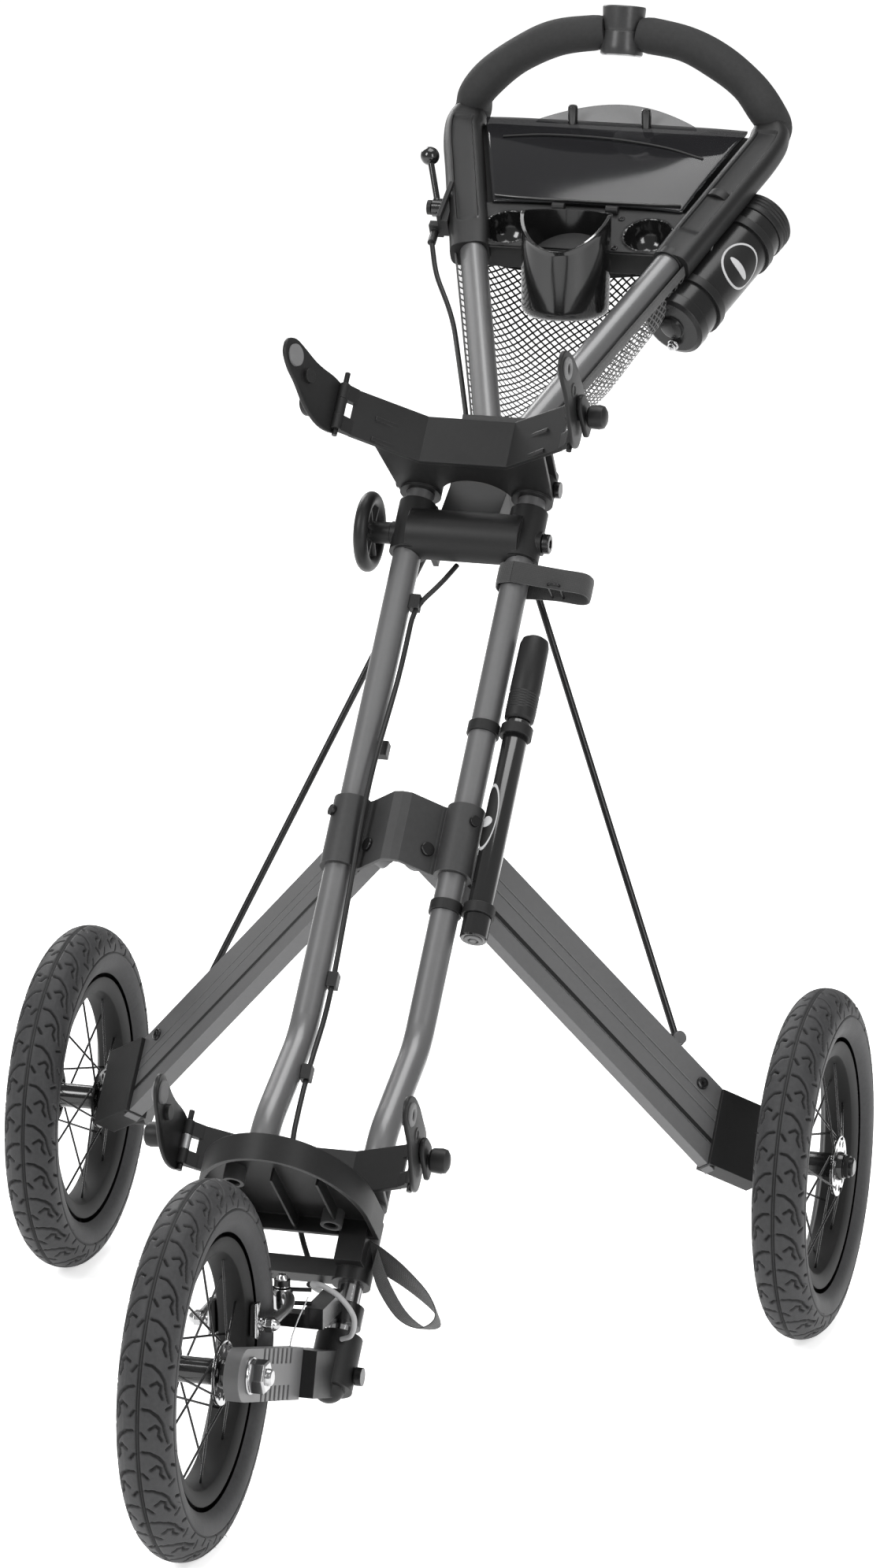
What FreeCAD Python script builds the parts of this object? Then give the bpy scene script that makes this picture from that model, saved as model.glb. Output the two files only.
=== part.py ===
"""Three-wheeled golf push trolley, as separate pieces that fit together.

Millimetres, +Z up. +Y is the way back to the handle, +X is the user's left as they push,
z = 0 is the ground, and the origin is under the middle of the whole trolley.
Three working frames are used, each turned back into place once its piece is done:
  lower: x, s along the main tubes (up and back), n square to them on the bag's side
  upper: x, q along the folding frame from its pivot, m square to it on the upper side
  leg:   l along the leg, e across it, w out of its flat face
"""
import FreeCAD, Part
import math
import os

V = FreeCAD.Vector

# Wheels and stance
WHEEL_R = 157.5
TYRE_R = 24.5
TYRE_WALL = 4.0
RIM_SEAT = 1.5
RIM_R = WHEEL_R - 2 * TYRE_R + RIM_SEAT
RIM_WALL = 8.0
RIM_W = 24.0
HUB_R = 13.0
HUB_FLANGE_R = 27.0
HUB_HALF = 23.0
FLANGE_T = 2.4
SPOKE_R = 1.0
SPOKES = 20
AXLE_R = 6.0
REAR_X = 346.0
REAR_Y = 730.0

# Main tubes
TUBE_R = 12.7
TUBE_WALL = 1.6
TUBE_X = 52.0
SLOPE = 49.0
MAIN_N = -145.2
LOW_N = -101.0
BEND_HI = 537.9
BEND_LO = 435.2
BEND_R = 90.0
TUBE_TOP = 1112.0
TUBE_END = 300.0
SLEEVE_WALL = 4.3

# Folding frame
FOLD_S = 1042.4
TILT = 29.7
ARM_X0 = 15.5
ARM_Q0 = 142.0
ARM_X1 = 98.2
ARM_Q1 = 411.5
YOKE_R = 19.0
YOKE_X = 27.0
BLOCK_WALL = 4.5
BOLT_R = 5.0

# Centre bracket
RIDGE = 29.0
RIDGE_DROP = 1.5
VALLEY = 5.0
VALLEY_X = 32.0
BRACKET_WALL = 4.5

# Legs
LEG_S = 724.9
LEG_X = 26.7
LEG_TURN = 43.2
LEG_DIP = 25.4
LEG_BASE = -8.0
LEG_TALL = 67.0
LEG_THICK = 14.0
BOX_MOUTH = (348.0, 57.0)
BOX_TALL = 73.0
BOX_DEEP = 54.0
BOX_WALL = 4.0
LEG_IN_BOX = 8.0
LEG_SET = 14.0
STRUT_R = 3.2
STRUT_BACK = 34.0
LUG_X = 34.0

# Fits
RUN = 0.05
GAP = 0.4
CLEAR = 1.0

# Bag cradles
UP_CRADLE_S = 1084.0
UP_CRADLE_N = 62.0
UP_PIN_X = 108.0
UP_PIN_N = 109.0
LOW_CRADLE_S = 365.0
LOW_CRADLE_N = 26.0
LOW_PIN_X = 101.8
LOW_PIN_N = 56.0
PIN_R = 2.5
KNUCKLE_R = 5.0
EAR_LEN = 90.0

# Base plate
PLATE_S = 328.0
PLATE_RIM = 24.0
PLATE_HALF = 74.0
PLATE_DEEP = 166.0

# Fork and brake
FORK_R = 11.0
ARM_X = 33.0
ARM_DIP = 16.8
PAD_GAP = 3.0
CALIPER_S = 263.0

# Console, handle and accessories
DECK_Q0 = 400.0
DECK_Q1 = 466.0
ARM_END = 598.0
LID_Q1 = 590.0
LID_HALF0 = 91.3
LID_HALF1 = 127.7
CUP_Y = 1122.5
CUP_R = 42.8
CUP_WALL = 2.4
CUP_BOTTOM = 838.0
BALL_R = 22.0
BALL_X = 67.9
BALL_Q = 430.0
BALL_M = 3.0
BOWL_WALL = 2.5
GRIP_R = 17.5
BAR_R = 11.0
COLLAR_R = 20.8
COLLAR_BORE = 13.5
CAN_R = 30.0
CAN_LEN = 172.0
NET_TOP = -15.0
NET_WALL = 2.5
PUMP_R = 11.2
PUMP_X = 82.0

SIN, COS = math.sin(math.radians(SLOPE)), math.cos(math.radians(SLOPE))
FOLD_Y = FOLD_S * COS - MAIN_N * SIN
FOLD_Z = FOLD_S * SIN + MAIN_N * COS
ARM_SPAN = math.hypot(ARM_X1 - ARM_X0, ARM_Q1 - ARM_Q0)
ARM_DX = (ARM_X1 - ARM_X0) / ARM_SPAN
ARM_DQ = (ARM_Q1 - ARM_Q0) / ARM_SPAN
SLEEVE_R = TUBE_R + SLEEVE_WALL
FRONT = -WHEEL_R
LEG_N = VALLEY + (VALLEY_X - LEG_X) * (RIDGE - RIDGE_DROP - VALLEY) / (VALLEY_X - 8)


# ---------------------------------------------------------------- helpers
def rod(a, b, r):
    a, b = V(*a), V(*b)
    return Part.makeCylinder(r, (b - a).Length, a, b - a)


def tube(a, b, r, bore):
    return rod(a, b, r).cut(rod(a, b, bore))


def box(x0, x1, y0, y1, z0, z1):
    return Part.makeBox(x1 - x0, y1 - y0, z1 - z0, V(x0, y0, z0))


def prism(points, plane, low, high):
    """A flat outline pushed from low to high. plane is 'xy', 'xz' or 'yz'."""
    place = {"xy": lambda a, b: V(a, b, low),
             "xz": lambda a, b: V(a, low, b),
             "yz": lambda a, b: V(low, a, b)}[plane]
    push = {"xy": V(0, 0, 1), "xz": V(0, 1, 0), "yz": V(1, 0, 0)}[plane] * (high - low)
    ring = [place(a, b) for a, b in points]
    return Part.Face(Part.makePolygon(ring + ring[:1])).extrude(push)


def fuse(first, *others):
    for other in others:
        first = first.fuse(other)
    return first.removeSplitter()


def cut(first, *others):
    for other in others:
        first = first.cut(other)
    return first


def group(*shapes):
    return Part.makeCompound([s for shape in shapes for s in shape.Solids])


def soften(shape, radius, pick=lambda edge: True):
    """Round the picked edges, or leave them if they are too short for the radius."""
    edges = [e for e in shape.Edges if e.Length > 2 * radius and pick(e)]
    return shape.makeFillet(radius, edges) if edges else shape


def mirror(shape):
    return shape.mirror(V(0, 0, 0), V(1, 0, 0))


def both(shape):
    return group(shape, mirror(shape))


def lower(shape):
    return shape.rotated(V(0, 0, 0), V(1, 0, 0), SLOPE)


def upper(shape):
    return shape.rotated(V(0, 0, 0), V(1, 0, 0), TILT).translated(V(0, FOLD_Y, FOLD_Z))


def leg_matrix():
    """Columns l, e, w of the right leg, in x, y, z."""
    t, n = V(0, COS, SIN), V(0, -SIN, COS)
    turn, dip = math.radians(LEG_TURN), math.radians(LEG_DIP)
    out = V(math.cos(turn), 0, 0) - n * math.sin(turn)
    w = V(math.sin(turn), 0, 0) + n * math.cos(turn)
    l = out * math.cos(dip) - t * math.sin(dip)
    e = out * math.sin(dip) + t * math.cos(dip)
    o = V(LEG_X, 0, 0) + t * LEG_S + n * (MAIN_N + LEG_N)
    return FreeCAD.Matrix(l.x, e.x, w.x, o.x, l.y, e.y, w.y, o.y, l.z, e.z, w.z, o.z, 0, 0, 0, 1)


def leg_place(shape):
    return shape.transformed(leg_matrix())


def in_leg(x, y, z):
    return leg_matrix().inverse().multVec(V(x, y, z))


def lower_point(x, s, n):
    return V(x, s * COS - n * SIN, s * SIN + n * COS)


def upper_point(x, q, m):
    a = math.radians(TILT)
    return V(x, FOLD_Y + q * math.cos(a) - m * math.sin(a), FOLD_Z + q * math.sin(a) + m * math.cos(a))


def path(points, share=0.45, radius=None):
    """Straight runs joined by tangent arcs, each as large as its two runs allow."""
    pts = [V(*p) for p in points]
    edges, start = [], pts[0]
    for a, b, c in zip(pts, pts[1:], pts[2:]):
        into, out = (b - a).normalize(), (c - b).normalize()
        half = into.getAngle(out) / 2
        reach = share * min((b - a).Length, (c - b).Length)
        if radius:
            reach = min(reach, radius * math.tan(half))
        first, last = b - into * reach, b + out * reach
        inward = (out - into).normalize()
        r = reach / math.tan(half)
        middle = b + inward * (r / math.cos(half) - r)
        edges += [Part.LineSegment(start, first).toShape(), Part.Arc(first, middle, last).toShape()]
        start = last
    edges.append(Part.LineSegment(start, pts[-1]).toShape())
    return Part.Wire(edges)


def bend_radii(points, share=0.45):
    pts = [V(*p) for p in points]
    for a, b, c in zip(pts, pts[1:], pts[2:]):
        half = (b - a).getAngle(c - b) / 2
        yield share * min((b - a).Length, (c - b).Length) / math.tan(half)


def sweep(wire, r):
    start = wire.OrderedVertexes[0].Point
    first = wire.OrderedEdges[0]
    along = first.tangentAt(first.FirstParameter)
    ring = Part.Wire(Part.makeCircle(r, start, along))
    return wire.makePipeShell([ring], True, False)


def hex_prism(centre, axis, across, high):
    r = across / math.sqrt(3)
    ring = [V(r * math.cos(i * math.pi / 3), r * math.sin(i * math.pi / 3), 0) for i in range(6)]
    nut = Part.Face(Part.makePolygon(ring + ring[:1])).extrude(V(0, 0, high))
    nut.Placement = FreeCAD.Placement(V(*centre), FreeCAD.Rotation(V(0, 0, 1), V(*axis)))
    return nut


# ---------------------------------------------------------------- main frame
def main_path(end):
    pts = [(0, TUBE_TOP, MAIN_N), (0, BEND_HI, MAIN_N), (0, BEND_LO, LOW_N), (0, end, LOW_N)]
    return path(pts, radius=BEND_R)


def main_tube(side):
    wire = main_path(TUBE_END)
    shape = sweep(wire, TUBE_R).cut(sweep(wire, TUBE_R - TUBE_WALL))
    shape = shape.translated(V(TUBE_X, 0, 0))
    shape = shape.cut(rod((0, FOLD_S, MAIN_N), (2 * TUBE_X, FOLD_S, MAIN_N), BOLT_R + RUN))
    shape = shape.cut(sleeve_screw_hole())
    return lower(shape if side > 0 else mirror(shape))


def fork_tube():
    return lower(tube((TUBE_X, FORK_FOOT + 8, LOW_N), (TUBE_X, TUBE_END + 40, LOW_N), FORK_R, FORK_R - 2))


def hinge_block():
    s0, s1 = FOLD_S - 20, FOLD_S + 31
    side = rod((TUBE_X, s0, MAIN_N), (TUBE_X, s1, MAIN_N), SLEEVE_R)
    lug = rod((YOKE_X + GAP, FOLD_S, MAIN_N), (TUBE_X, FOLD_S, MAIN_N), YOKE_R)
    body = fuse(side, lug, rod((TUBE_X, FOLD_S, MAIN_N), (TUBE_X + SLEEVE_R + 1, FOLD_S, MAIN_N), 11))
    shell = rod((-TUBE_X, FOLD_S, MAIN_N), (TUBE_X, FOLD_S, MAIN_N), YOKE_R + CLEAR + BLOCK_WALL)
    shell = shell.cut(box(-TUBE_X, TUBE_X, s0 - 20, s1, MAIN_N - 40, MAIN_N))
    shell = shell.cut(box(-TUBE_X, TUBE_X, FOLD_S + 12, s1, MAIN_N, MAIN_N + 15))
    for side in (1, -1):
        lug = box(*sorted((side * LUG_X, side * (LUG_X + 5))), s0 + 12, s1, MAIN_N - STRUT_BACK - 8, MAIN_N)
        shell = shell.fuse(lug)
    shape = fuse(body, mirror(body), shell)
    bore = rod((TUBE_X, s0 - 10, MAIN_N), (TUBE_X, s1 + 1, MAIN_N), TUBE_R)
    hole = rod((-2 * TUBE_X, FOLD_S, MAIN_N), (2 * TUBE_X, FOLD_S, MAIN_N), BOLT_R + RUN)
    barrel = rod((-YOKE_X - GAP, FOLD_S, MAIN_N), (YOKE_X + GAP, FOLD_S, MAIN_N), YOKE_R + CLEAR)
    return lower(cut(shape, bore, mirror(bore), hole, barrel))


def hinge_bolt():
    end = TUBE_X + SLEEVE_R + 1
    shank = rod((-end - 26, FOLD_S, MAIN_N), (end, FOLD_S, MAIN_N), BOLT_R)
    head = rod((end, FOLD_S, MAIN_N), (end + 7, FOLD_S, MAIN_N), 9)
    socket = hex_prism((end + 4, FOLD_S, MAIN_N), (1, 0, 0), 8, 5)
    return lower(fuse(shank, soften(head, 1.5)).cut(socket))


def tension_knob():
    x0 = -(TUBE_X + SLEEVE_R + 1 + GAP)
    hub = rod((x0, FOLD_S, MAIN_N), (x0 - 30, FOLD_S, MAIN_N), 10)
    ring = Part.makeTorus(30, 6.5, V(x0 - 21, FOLD_S, MAIN_N), V(1, 0, 0))
    knob = fuse(hub, ring)
    for i in range(6):
        a = i * math.pi / 3
        tip = (x0 - 21, FOLD_S + 29 * math.cos(a), MAIN_N + 29 * math.sin(a))
        knob = knob.fuse(rod((x0 - 21, FOLD_S, MAIN_N), tip, 4))
    return lower(knob.cut(rod((x0 + 1, FOLD_S, MAIN_N), (x0 - 27, FOLD_S, MAIN_N), BOLT_R + RUN)))


BRACKET_S0, BRACKET_S1 = 704.0, 771.0
SCREW_S = 754.6
SCREW_DIR = (math.cos(math.radians(44)), math.sin(math.radians(44)))
LEG_HOLE_R = 4.0


def sleeve_screw_hole(r=2.5, reach=26):
    a = (TUBE_X, SCREW_S, MAIN_N)
    b = (TUBE_X + reach * SCREW_DIR[0], SCREW_S, MAIN_N + reach * SCREW_DIR[1])
    return rod(a, b, r)


def centre_bracket():
    half = [(0, RIDGE), (8, RIDGE - RIDGE_DROP), (VALLEY_X, VALLEY), (TUBE_X - 12, 0)]
    top = [(-x, n) for x, n in reversed(half[1:])] + half
    under = [(x, n - BRACKET_WALL) for x, n in reversed(top)]
    sheet = prism([(x, MAIN_N + n) for x, n in top + under], "xz", BRACKET_S0, BRACKET_S1)
    sleeve = rod((TUBE_X, BRACKET_S0, MAIN_N), (TUBE_X, BRACKET_S1, MAIN_N), SLEEVE_R)
    bore = rod((TUBE_X, BRACKET_S0 - 1, MAIN_N), (TUBE_X, BRACKET_S1 + 1, MAIN_N), TUBE_R)
    shape = cut(fuse(sheet, sleeve, mirror(sleeve)), bore, mirror(bore))
    shape = cut(shape, sleeve_screw_hole(), mirror(sleeve_screw_hole()))
    hole = lower_of_leg(rod((0, 0, -40), (0, 0, 20), LEG_HOLE_R))
    return lower(cut(shape, hole, mirror(hole)))


def lower_of_leg(shape):
    """A shape in the leg's frame, moved into the lower frame."""
    return leg_place(shape).rotated(V(0, 0, 0), V(1, 0, 0), -SLOPE)


def frame_fasteners():
    button = rod((0, 0, GAP), (0, 0, 3.0), 6.5)
    pivot = fuse(soften(button, 1), rod((0, 0, -LEG_SET - LEG_THICK / 2 - 3), (0, 0, 3), LEG_HOLE_R))
    washer = rod((0, 0, -LEG_SET - LEG_THICK / 2 - 5), (0, 0, -LEG_SET - LEG_THICK / 2 - CLEAR), 7)
    pivots = both(leg_place(fuse(pivot, washer)))
    d = V(SCREW_DIR[0], 0, SCREW_DIR[1])
    base = V(TUBE_X, SCREW_S, MAIN_N)
    seat = SLEEVE_R + 0.8
    shank = rod(tuple(base + d * (TUBE_R - TUBE_WALL - 3)), tuple(base + d * seat), 2.5)
    head = rod(tuple(base + d * seat), tuple(base + d * (seat + 2.6)), 5)
    sleeves = both(lower(shank.fuse(head)))
    foot_s, knob_x = UP_CRADLE_S + 14, TUBE_X + SLEEVE_R
    foot = rod((TUBE_X + TUBE_R, foot_s, MAIN_N), (knob_x + 6, foot_s, MAIN_N), 4)
    foot = both(lower(foot.fuse(rod((knob_x + 2, foot_s, MAIN_N), (knob_x + 7, foot_s, MAIN_N), 7.5))))
    end = rod((TUBE_X + 21, KNUCKLE_S + 14, LOW_N), (TUBE_X + 27, KNUCKLE_S + 14, LOW_N), 8)
    pins = both(cradle_pin(UP_PIN_X, UP_CRADLE_S - 6, UP_CRADLE_S + 58, MAIN_N + UP_PIN_N))
    low_pins = both(cradle_pin(LOW_PIN_X, LOW_CRADLE_S - 6, LOW_CRADLE_S + 50, LOW_N + LOW_PIN_N))
    return group(pivots, sleeves, foot, lower(end), pins, low_pins)


def cradle_pin(x, s0, s1, n):
    return lower(rod((x, s0, n), (x, s1, n), PIN_R))


# ---------------------------------------------------------------- bag cradles and ears
def ear_slots(s0, s1):
    """The hinge's three stretches along its pin: cradle, ear, cradle."""
    third = (s1 - s0) / 3
    return (s0, s0 + third - GAP), (s0 + third, s1 - third), (s1 - third + GAP, s1)


def cradle(s0, tall, tube_n, front, pin_x, pin_n, foot_r, arch):
    """A shallow V of sheet on two clamps, with a hinge knuckle at each end."""
    wall = 5.0
    n0 = tube_n + front
    slope_x, slope_n = pin_x - 40, tube_n + pin_n - n0
    size = math.hypot(slope_x, slope_n)
    back = KNUCKLE_R + 6
    tip = (pin_x - slope_x / size * back, tube_n + pin_n - slope_n / size * back)
    face = [(-tip[0], tip[1]), (-40, n0), (40, n0), tip]
    skin = face + [(x, n - wall) for x, n in reversed(face)]
    shape = prism(skin, "xz", s0, s0 + tall)
    rib = [(-tip[0] * 0.8, tip[1] - 12), (-40, n0 - 2), (40, n0 - 2), (tip[0] * 0.8, tip[1] - 12),
           (TUBE_X + foot_r, tube_n), (-TUBE_X - foot_r, tube_n)]
    for at in (s0 + 2, s0 + tall * 0.5):
        shape = shape.fuse(prism(rib, "xz", at, at + 4))
    gap = rod((0, s0 - 1, tube_n - 6), (0, s0 + tall, tube_n - 6), arch)
    shape = shape.cut(gap)
    foot = rod((TUBE_X, s0, tube_n), (TUBE_X, s0 + 30, tube_n), foot_r)
    shape = shape.fuse(foot).fuse(mirror(foot))
    for a, b in ear_slots(s0, s0 + tall)[::2]:
        lug = rod((pin_x, a, tube_n + pin_n), (pin_x, b, tube_n + pin_n), KNUCKLE_R)
        strap = [(pin_x - 2, tube_n + pin_n + 3), (tip[0] - 3, tip[1] - 1), (tip[0] - 1, tip[1] - wall),
                 (pin_x, tube_n + pin_n - 4)]
        arm = prism(strap, "xz", a, b)
        shape = fuse(shape, lug, arm, mirror(lug), mirror(arm))
    hole = rod((pin_x, s0 - 9, tube_n + pin_n), (pin_x, s0 + tall + 12, tube_n + pin_n), PIN_R)
    bore = rod((TUBE_X, s0 - 1, tube_n), (TUBE_X, s0 + tall + 9, tube_n), TUBE_R)
    shape = cut(shape, hole, mirror(hole), bore, mirror(bore))
    return shape


CRADLE_TALL = 46.0


def upper_cradle():
    shape = cradle(UP_CRADLE_S, CRADLE_TALL, MAIN_N, UP_CRADLE_N, UP_PIN_X, UP_PIN_N, SLEEVE_R + 2, 34)
    foot_s = UP_CRADLE_S + 14
    hole = rod((-2 * TUBE_X, foot_s, MAIN_N), (2 * TUBE_X, foot_s, MAIN_N), 4)
    return lower(shape.cut(hole))


def lower_cradle():
    return lower(cradle(LOW_CRADLE_S, 40.0, LOW_N, LOW_CRADLE_N, LOW_PIN_X, LOW_PIN_N, SLEEVE_R, 28))


def ear(s0, tall, pin_x, pin_n, lean):
    """A curved plate with a round head on its knuckle, a paddle beside it and a round knob."""
    a, b = ear_slots(s0, s0 + tall)[1]
    mid = (a + b) / 2
    n0 = pin_n
    lug = rod((pin_x, a, n0), (pin_x, b, n0), KNUCKLE_R)
    outline = [(a, n0), (b, n0), (b + 8, n0 + 22), (b + 9, n0 + 40), (b + 15, n0 + 55), (a + 16, n0 + 55),
               (a - 4, n0 + 34), (a - 12, n0 + 8)]
    plate = prism(outline, "yz", pin_x + 1, pin_x + 5)
    plate = plate.cut(rod((pin_x, a - 20, n0), (pin_x, a - GAP, n0), KNUCKLE_R + CLEAR))
    plate = plate.cut(rod((pin_x, b + GAP, n0), (pin_x, b + 20, n0), KNUCKLE_R + CLEAR))
    head_s, head_n = mid + 14, n0 + EAR_LEN - 17
    head = rod((pin_x + 1, head_s, head_n), (pin_x + 5, head_s, head_n), 17)
    body = fuse(lug, plate, head)
    slot = rod((pin_x, head_s - 3, head_n - 24), (pin_x + 6, head_s - 3, head_n - 24), 4)
    hole = rod((pin_x, a - 9, n0), (pin_x, b + 9, n0), PIN_R + RUN)
    body = cut(body, slot, hole)
    rosette = rod((pin_x - 1, head_s, head_n), (pin_x + 1, head_s, head_n), 8)
    paddle = prism([(mid - 12, n0 - 4), (mid + 6, n0 - 8), (mid + 14, n0 + 10), (mid + 12, n0 + 34),
                    (mid + 2, n0 + 34), (mid - 8, n0 + 14)], "yz", pin_x + 8, pin_x + 12)
    stem = rod((pin_x + 5, mid, n0 + 12), (pin_x + 18, mid, n0 + 12), 4)
    knob = soften(rod((pin_x + 16, mid, n0 + 12), (pin_x + 29, mid, n0 + 12), 10.5), 3)
    shape = group(body, rosette, fuse(paddle, stem, knob))
    turned = shape.rotated(V(pin_x, 0, n0), V(0, 1, 0), lean)
    return lower(turned)


def upper_ear(side):
    shape = ear(UP_CRADLE_S, CRADLE_TALL, UP_PIN_X, MAIN_N + UP_PIN_N, -2 if side > 0 else 22)
    return shape if side > 0 else mirror(shape)


def lower_ear(side):
    shape = ear(LOW_CRADLE_S, 40.0, LOW_PIN_X, LOW_N + LOW_PIN_N, 2)
    return shape if side > 0 else mirror(shape)


# ---------------------------------------------------------------- base plate
def plate_outline(inset):
    """Flat at the back, straight sides, then a half oval front."""
    half, deep, start = PLATE_HALF - inset, PLATE_DEEP - inset, 58.0
    centre = V(0, 0, LOW_N + start)
    back = LOW_N + 19 + inset
    ring = Part.Ellipse(centre + V(0, 0, deep - start), centre + V(half, 0, 0), centre)
    left, right = V(-half, 0, LOW_N + start), V(half, 0, LOW_N + start)
    curve = Part.Edge(ring, ring.parameter(right), ring.parameter(left))
    if curve.BoundBox.ZMax < LOW_N + deep - 1:
        curve = Part.Edge(ring, ring.parameter(left), ring.parameter(right))
    back_l, back_r = V(-half, 0, back), V(half, 0, back)
    lines = [Part.makeLine(left, back_l), Part.makeLine(back_l, back_r), Part.makeLine(back_r, right)]
    return Part.Wire(Part.__sortEdges__([curve] + lines))


def base_plate():
    tray = Part.Face(plate_outline(0)).extrude(V(0, PLATE_RIM, 0)).translated(V(0, PLATE_S, 0))
    pocket = Part.Face(plate_outline(4)).extrude(V(0, PLATE_RIM, 0))
    shape = tray.cut(pocket.translated(V(0, PLATE_S - 10, 0))).cut(pocket.translated(V(0, PLATE_S + 18, 0)))
    for x in (-40, 0, 40):
        shape = shape.fuse(box(x - 1, x + 1, PLATE_S + 2, PLATE_S + 16, LOW_N + 20, LOW_N + 118))
    for x, n in ((-34, 112), (36, 40)):
        shape = shape.fuse(tube((x, PLATE_S + 1, LOW_N + n), (x, PLATE_S + 16, LOW_N + n), 9, 6))
    for x in (-TUBE_X, TUBE_X):
        socket = rod((x, PLATE_S - 36, LOW_N), (x, PLATE_S + PLATE_RIM, LOW_N), SLEEVE_R)
        cheek = box(x - 12, x + 12, PLATE_S - 24, PLATE_S + PLATE_RIM, LOW_N, LOW_N + 26)
        shape = shape.fuse(socket).fuse(cheek)
    shape = shape.fuse(box(-TUBE_X, TUBE_X, PLATE_S - 34, PLATE_S - 18, LOW_N - 6, LOW_N + 12))
    for x in (-TUBE_X, TUBE_X):
        shape = shape.cut(rod((x, TUBE_END, LOW_N), (x, PLATE_S + 60, LOW_N), TUBE_R))
    return lower(shape.cut(rod((TUBE_X, 0, LOW_N), (TUBE_X, TUBE_END + 1, LOW_N), FORK_R)))


# ---------------------------------------------------------------- fork, front axle and brake
KNUCKLE_S = 196.0
FORK_FOOT = KNUCKLE_S


def arm_place(shape):
    return shape.rotated(V(0, 0, 0), V(1, 0, 0), -ARM_DIP).translated(V(0, 0, WHEEL_R))


def fork_knuckle():
    barrel = rod((TUBE_X, KNUCKLE_S, LOW_N), (TUBE_X, KNUCKLE_S + 48, LOW_N), 20)
    cap = Part.makeSphere(14, V(TUBE_X, KNUCKLE_S + 2, LOW_N))
    body = lower(fuse(barrel, cap))
    tongue = arm_place(box(ARM_X - 1, 58, 150 + GAP, 212, -20, 20))
    body = body.fuse(tongue)
    bore = rod((TUBE_X, KNUCKLE_S + 8, LOW_N), (TUBE_X, KNUCKLE_S + 60, LOW_N), FORK_R)
    return cut(body, lower(bore))


def fork_arm():
    slab = box(ARM_X, ARM_X + 13, -12, 150, -22, 22)
    nose = rod((ARM_X, -12, 0), (ARM_X + 13, -12, 0), 22)
    shape = slab.fuse(nose)
    for i in range(7):
        y = 34 + i * 13
        for z0, z1 in ((9, 23), (-23, -9)):
            shape = shape.cut(box(ARM_X + 10, ARM_X + 14, y, y + 6, z0, z1))
    return arm_place(shape.cut(rod((30, 0, 0), (70, 0, 0), AXLE_R)))


def front_axle():
    z = WHEEL_R
    shank = rod((-30, 0, z), (ARM_X + 29, 0, z), AXLE_R)
    nut = hex_prism((ARM_X + 14, 0, z), (1, 0, 0), 24, 13)
    far = hex_prism((-34, 0, z), (1, 0, 0), 17, 6)
    collar = rod((HUB_HALF + 5 + CLEAR, 0, z), (ARM_X, 0, z), 9)
    return fuse(shank, nut, far, collar)


def caliper_body():
    ring = tube((TUBE_X, CALIPER_S - 9, LOW_N), (TUBE_X, CALIPER_S + 9, LOW_N), 16, FORK_R)
    ring = lower(ring)
    bar = box(-20, 52, PIVOT_Y - 7, PIVOT_Y + 7, PIVOT_Z - 26, PIVOT_Z - 14)
    leg = box(38, 54, PIVOT_Y - 7, CALIPER_Y - 10, PIVOT_Z - 26, PIVOT_Z - 8)
    pegs = [rod((x, PIVOT_Y, PIVOT_Z - 14), (x, PIVOT_Y, PIVOT_Z + 10), 4) for x in (-16, 16)]
    caps = [rod((x, PIVOT_Y, PIVOT_Z + 6 + GAP), (x, PIVOT_Y, PIVOT_Z + 13), 7) for x in (-16, 16)]
    shape = fuse(ring, bar, leg, *pegs, *caps)
    return shape.cut(lower(rod((TUBE_X, 0, LOW_N), (TUBE_X, TUBE_END, LOW_N), FORK_R)))


CALIPER_Y = CALIPER_S * COS - LOW_N * SIN
CALIPER_Z = CALIPER_S * SIN + LOW_N * COS
PIVOT_Y = 186.0
PIVOT_Z = 168.0
PAD_Y, PAD_Z = 103.0, 174.0


def brake_arm(side):
    x = RIM_W / 2 + PAD_GAP
    boss = rod((16, PIVOT_Y, PIVOT_Z - 13), (16, PIVOT_Y, PIVOT_Z + 6), 9)
    boss = boss.cut(rod((16, PIVOT_Y, PIVOT_Z - 20), (16, PIVOT_Y, PIVOT_Z + 20), 4 + RUN))
    run = prism([(20, PIVOT_Y - 6), (34, PIVOT_Y - 22), (34, PAD_Y - 6), (29, PAD_Y - 6),
                 (29, PIVOT_Y - 20), (18, PIVOT_Y - 8)], "xy", PIVOT_Z - 6, PIVOT_Z + 4)
    stud = rod((x + 4, PAD_Y, PIVOT_Z), (44, PAD_Y, PIVOT_Z), 4)
    nut = hex_prism((35, PAD_Y, PIVOT_Z), (1, 0, 0), 11, 6)
    arm = fuse(boss, run, stud, nut)
    pad = box(x, x + 4, PAD_Y - 6, PAD_Y + 3, PAD_Z - 18, PAD_Z + 12)
    holder = box(x + 4, x + 7, PAD_Y - 6, PAD_Y + 3, PAD_Z - 16, PAD_Z + 11)
    shape = group(fuse(arm, holder), pad)
    return shape if side > 0 else mirror(shape)


# ---------------------------------------------------------------- wheels
def revolve(profile):
    """A ring turned about X from an outline of (x, radius)."""
    ring = [V(x, 0, r) for x, r in profile]
    return Part.Face(Part.makePolygon(ring + ring[:1])).revolve(V(0, 0, 0), V(1, 0, 0), 360)


def tyre():
    centre = WHEEL_R - TYRE_R
    ring = Part.makeTorus(centre, TYRE_R, V(0, 0, 0), V(1, 0, 0))
    air = Part.makeTorus(centre, TYRE_R - TYRE_WALL, V(0, 0, 0), V(1, 0, 0))
    mouth = revolve([(-7, RIM_R - 1), (7, RIM_R - 1), (7, centre), (-7, centre)])
    return cut(ring, air, mouth, rod((-60, 0, 0), (60, 0, 0), RIM_R))


def rim():
    half = RIM_W / 2
    return revolve([(-half, RIM_R), (half, RIM_R), (half, RIM_R - 5), (6, RIM_R - RIM_WALL),
                    (-6, RIM_R - RIM_WALL), (-half, RIM_R - 5)])


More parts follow.
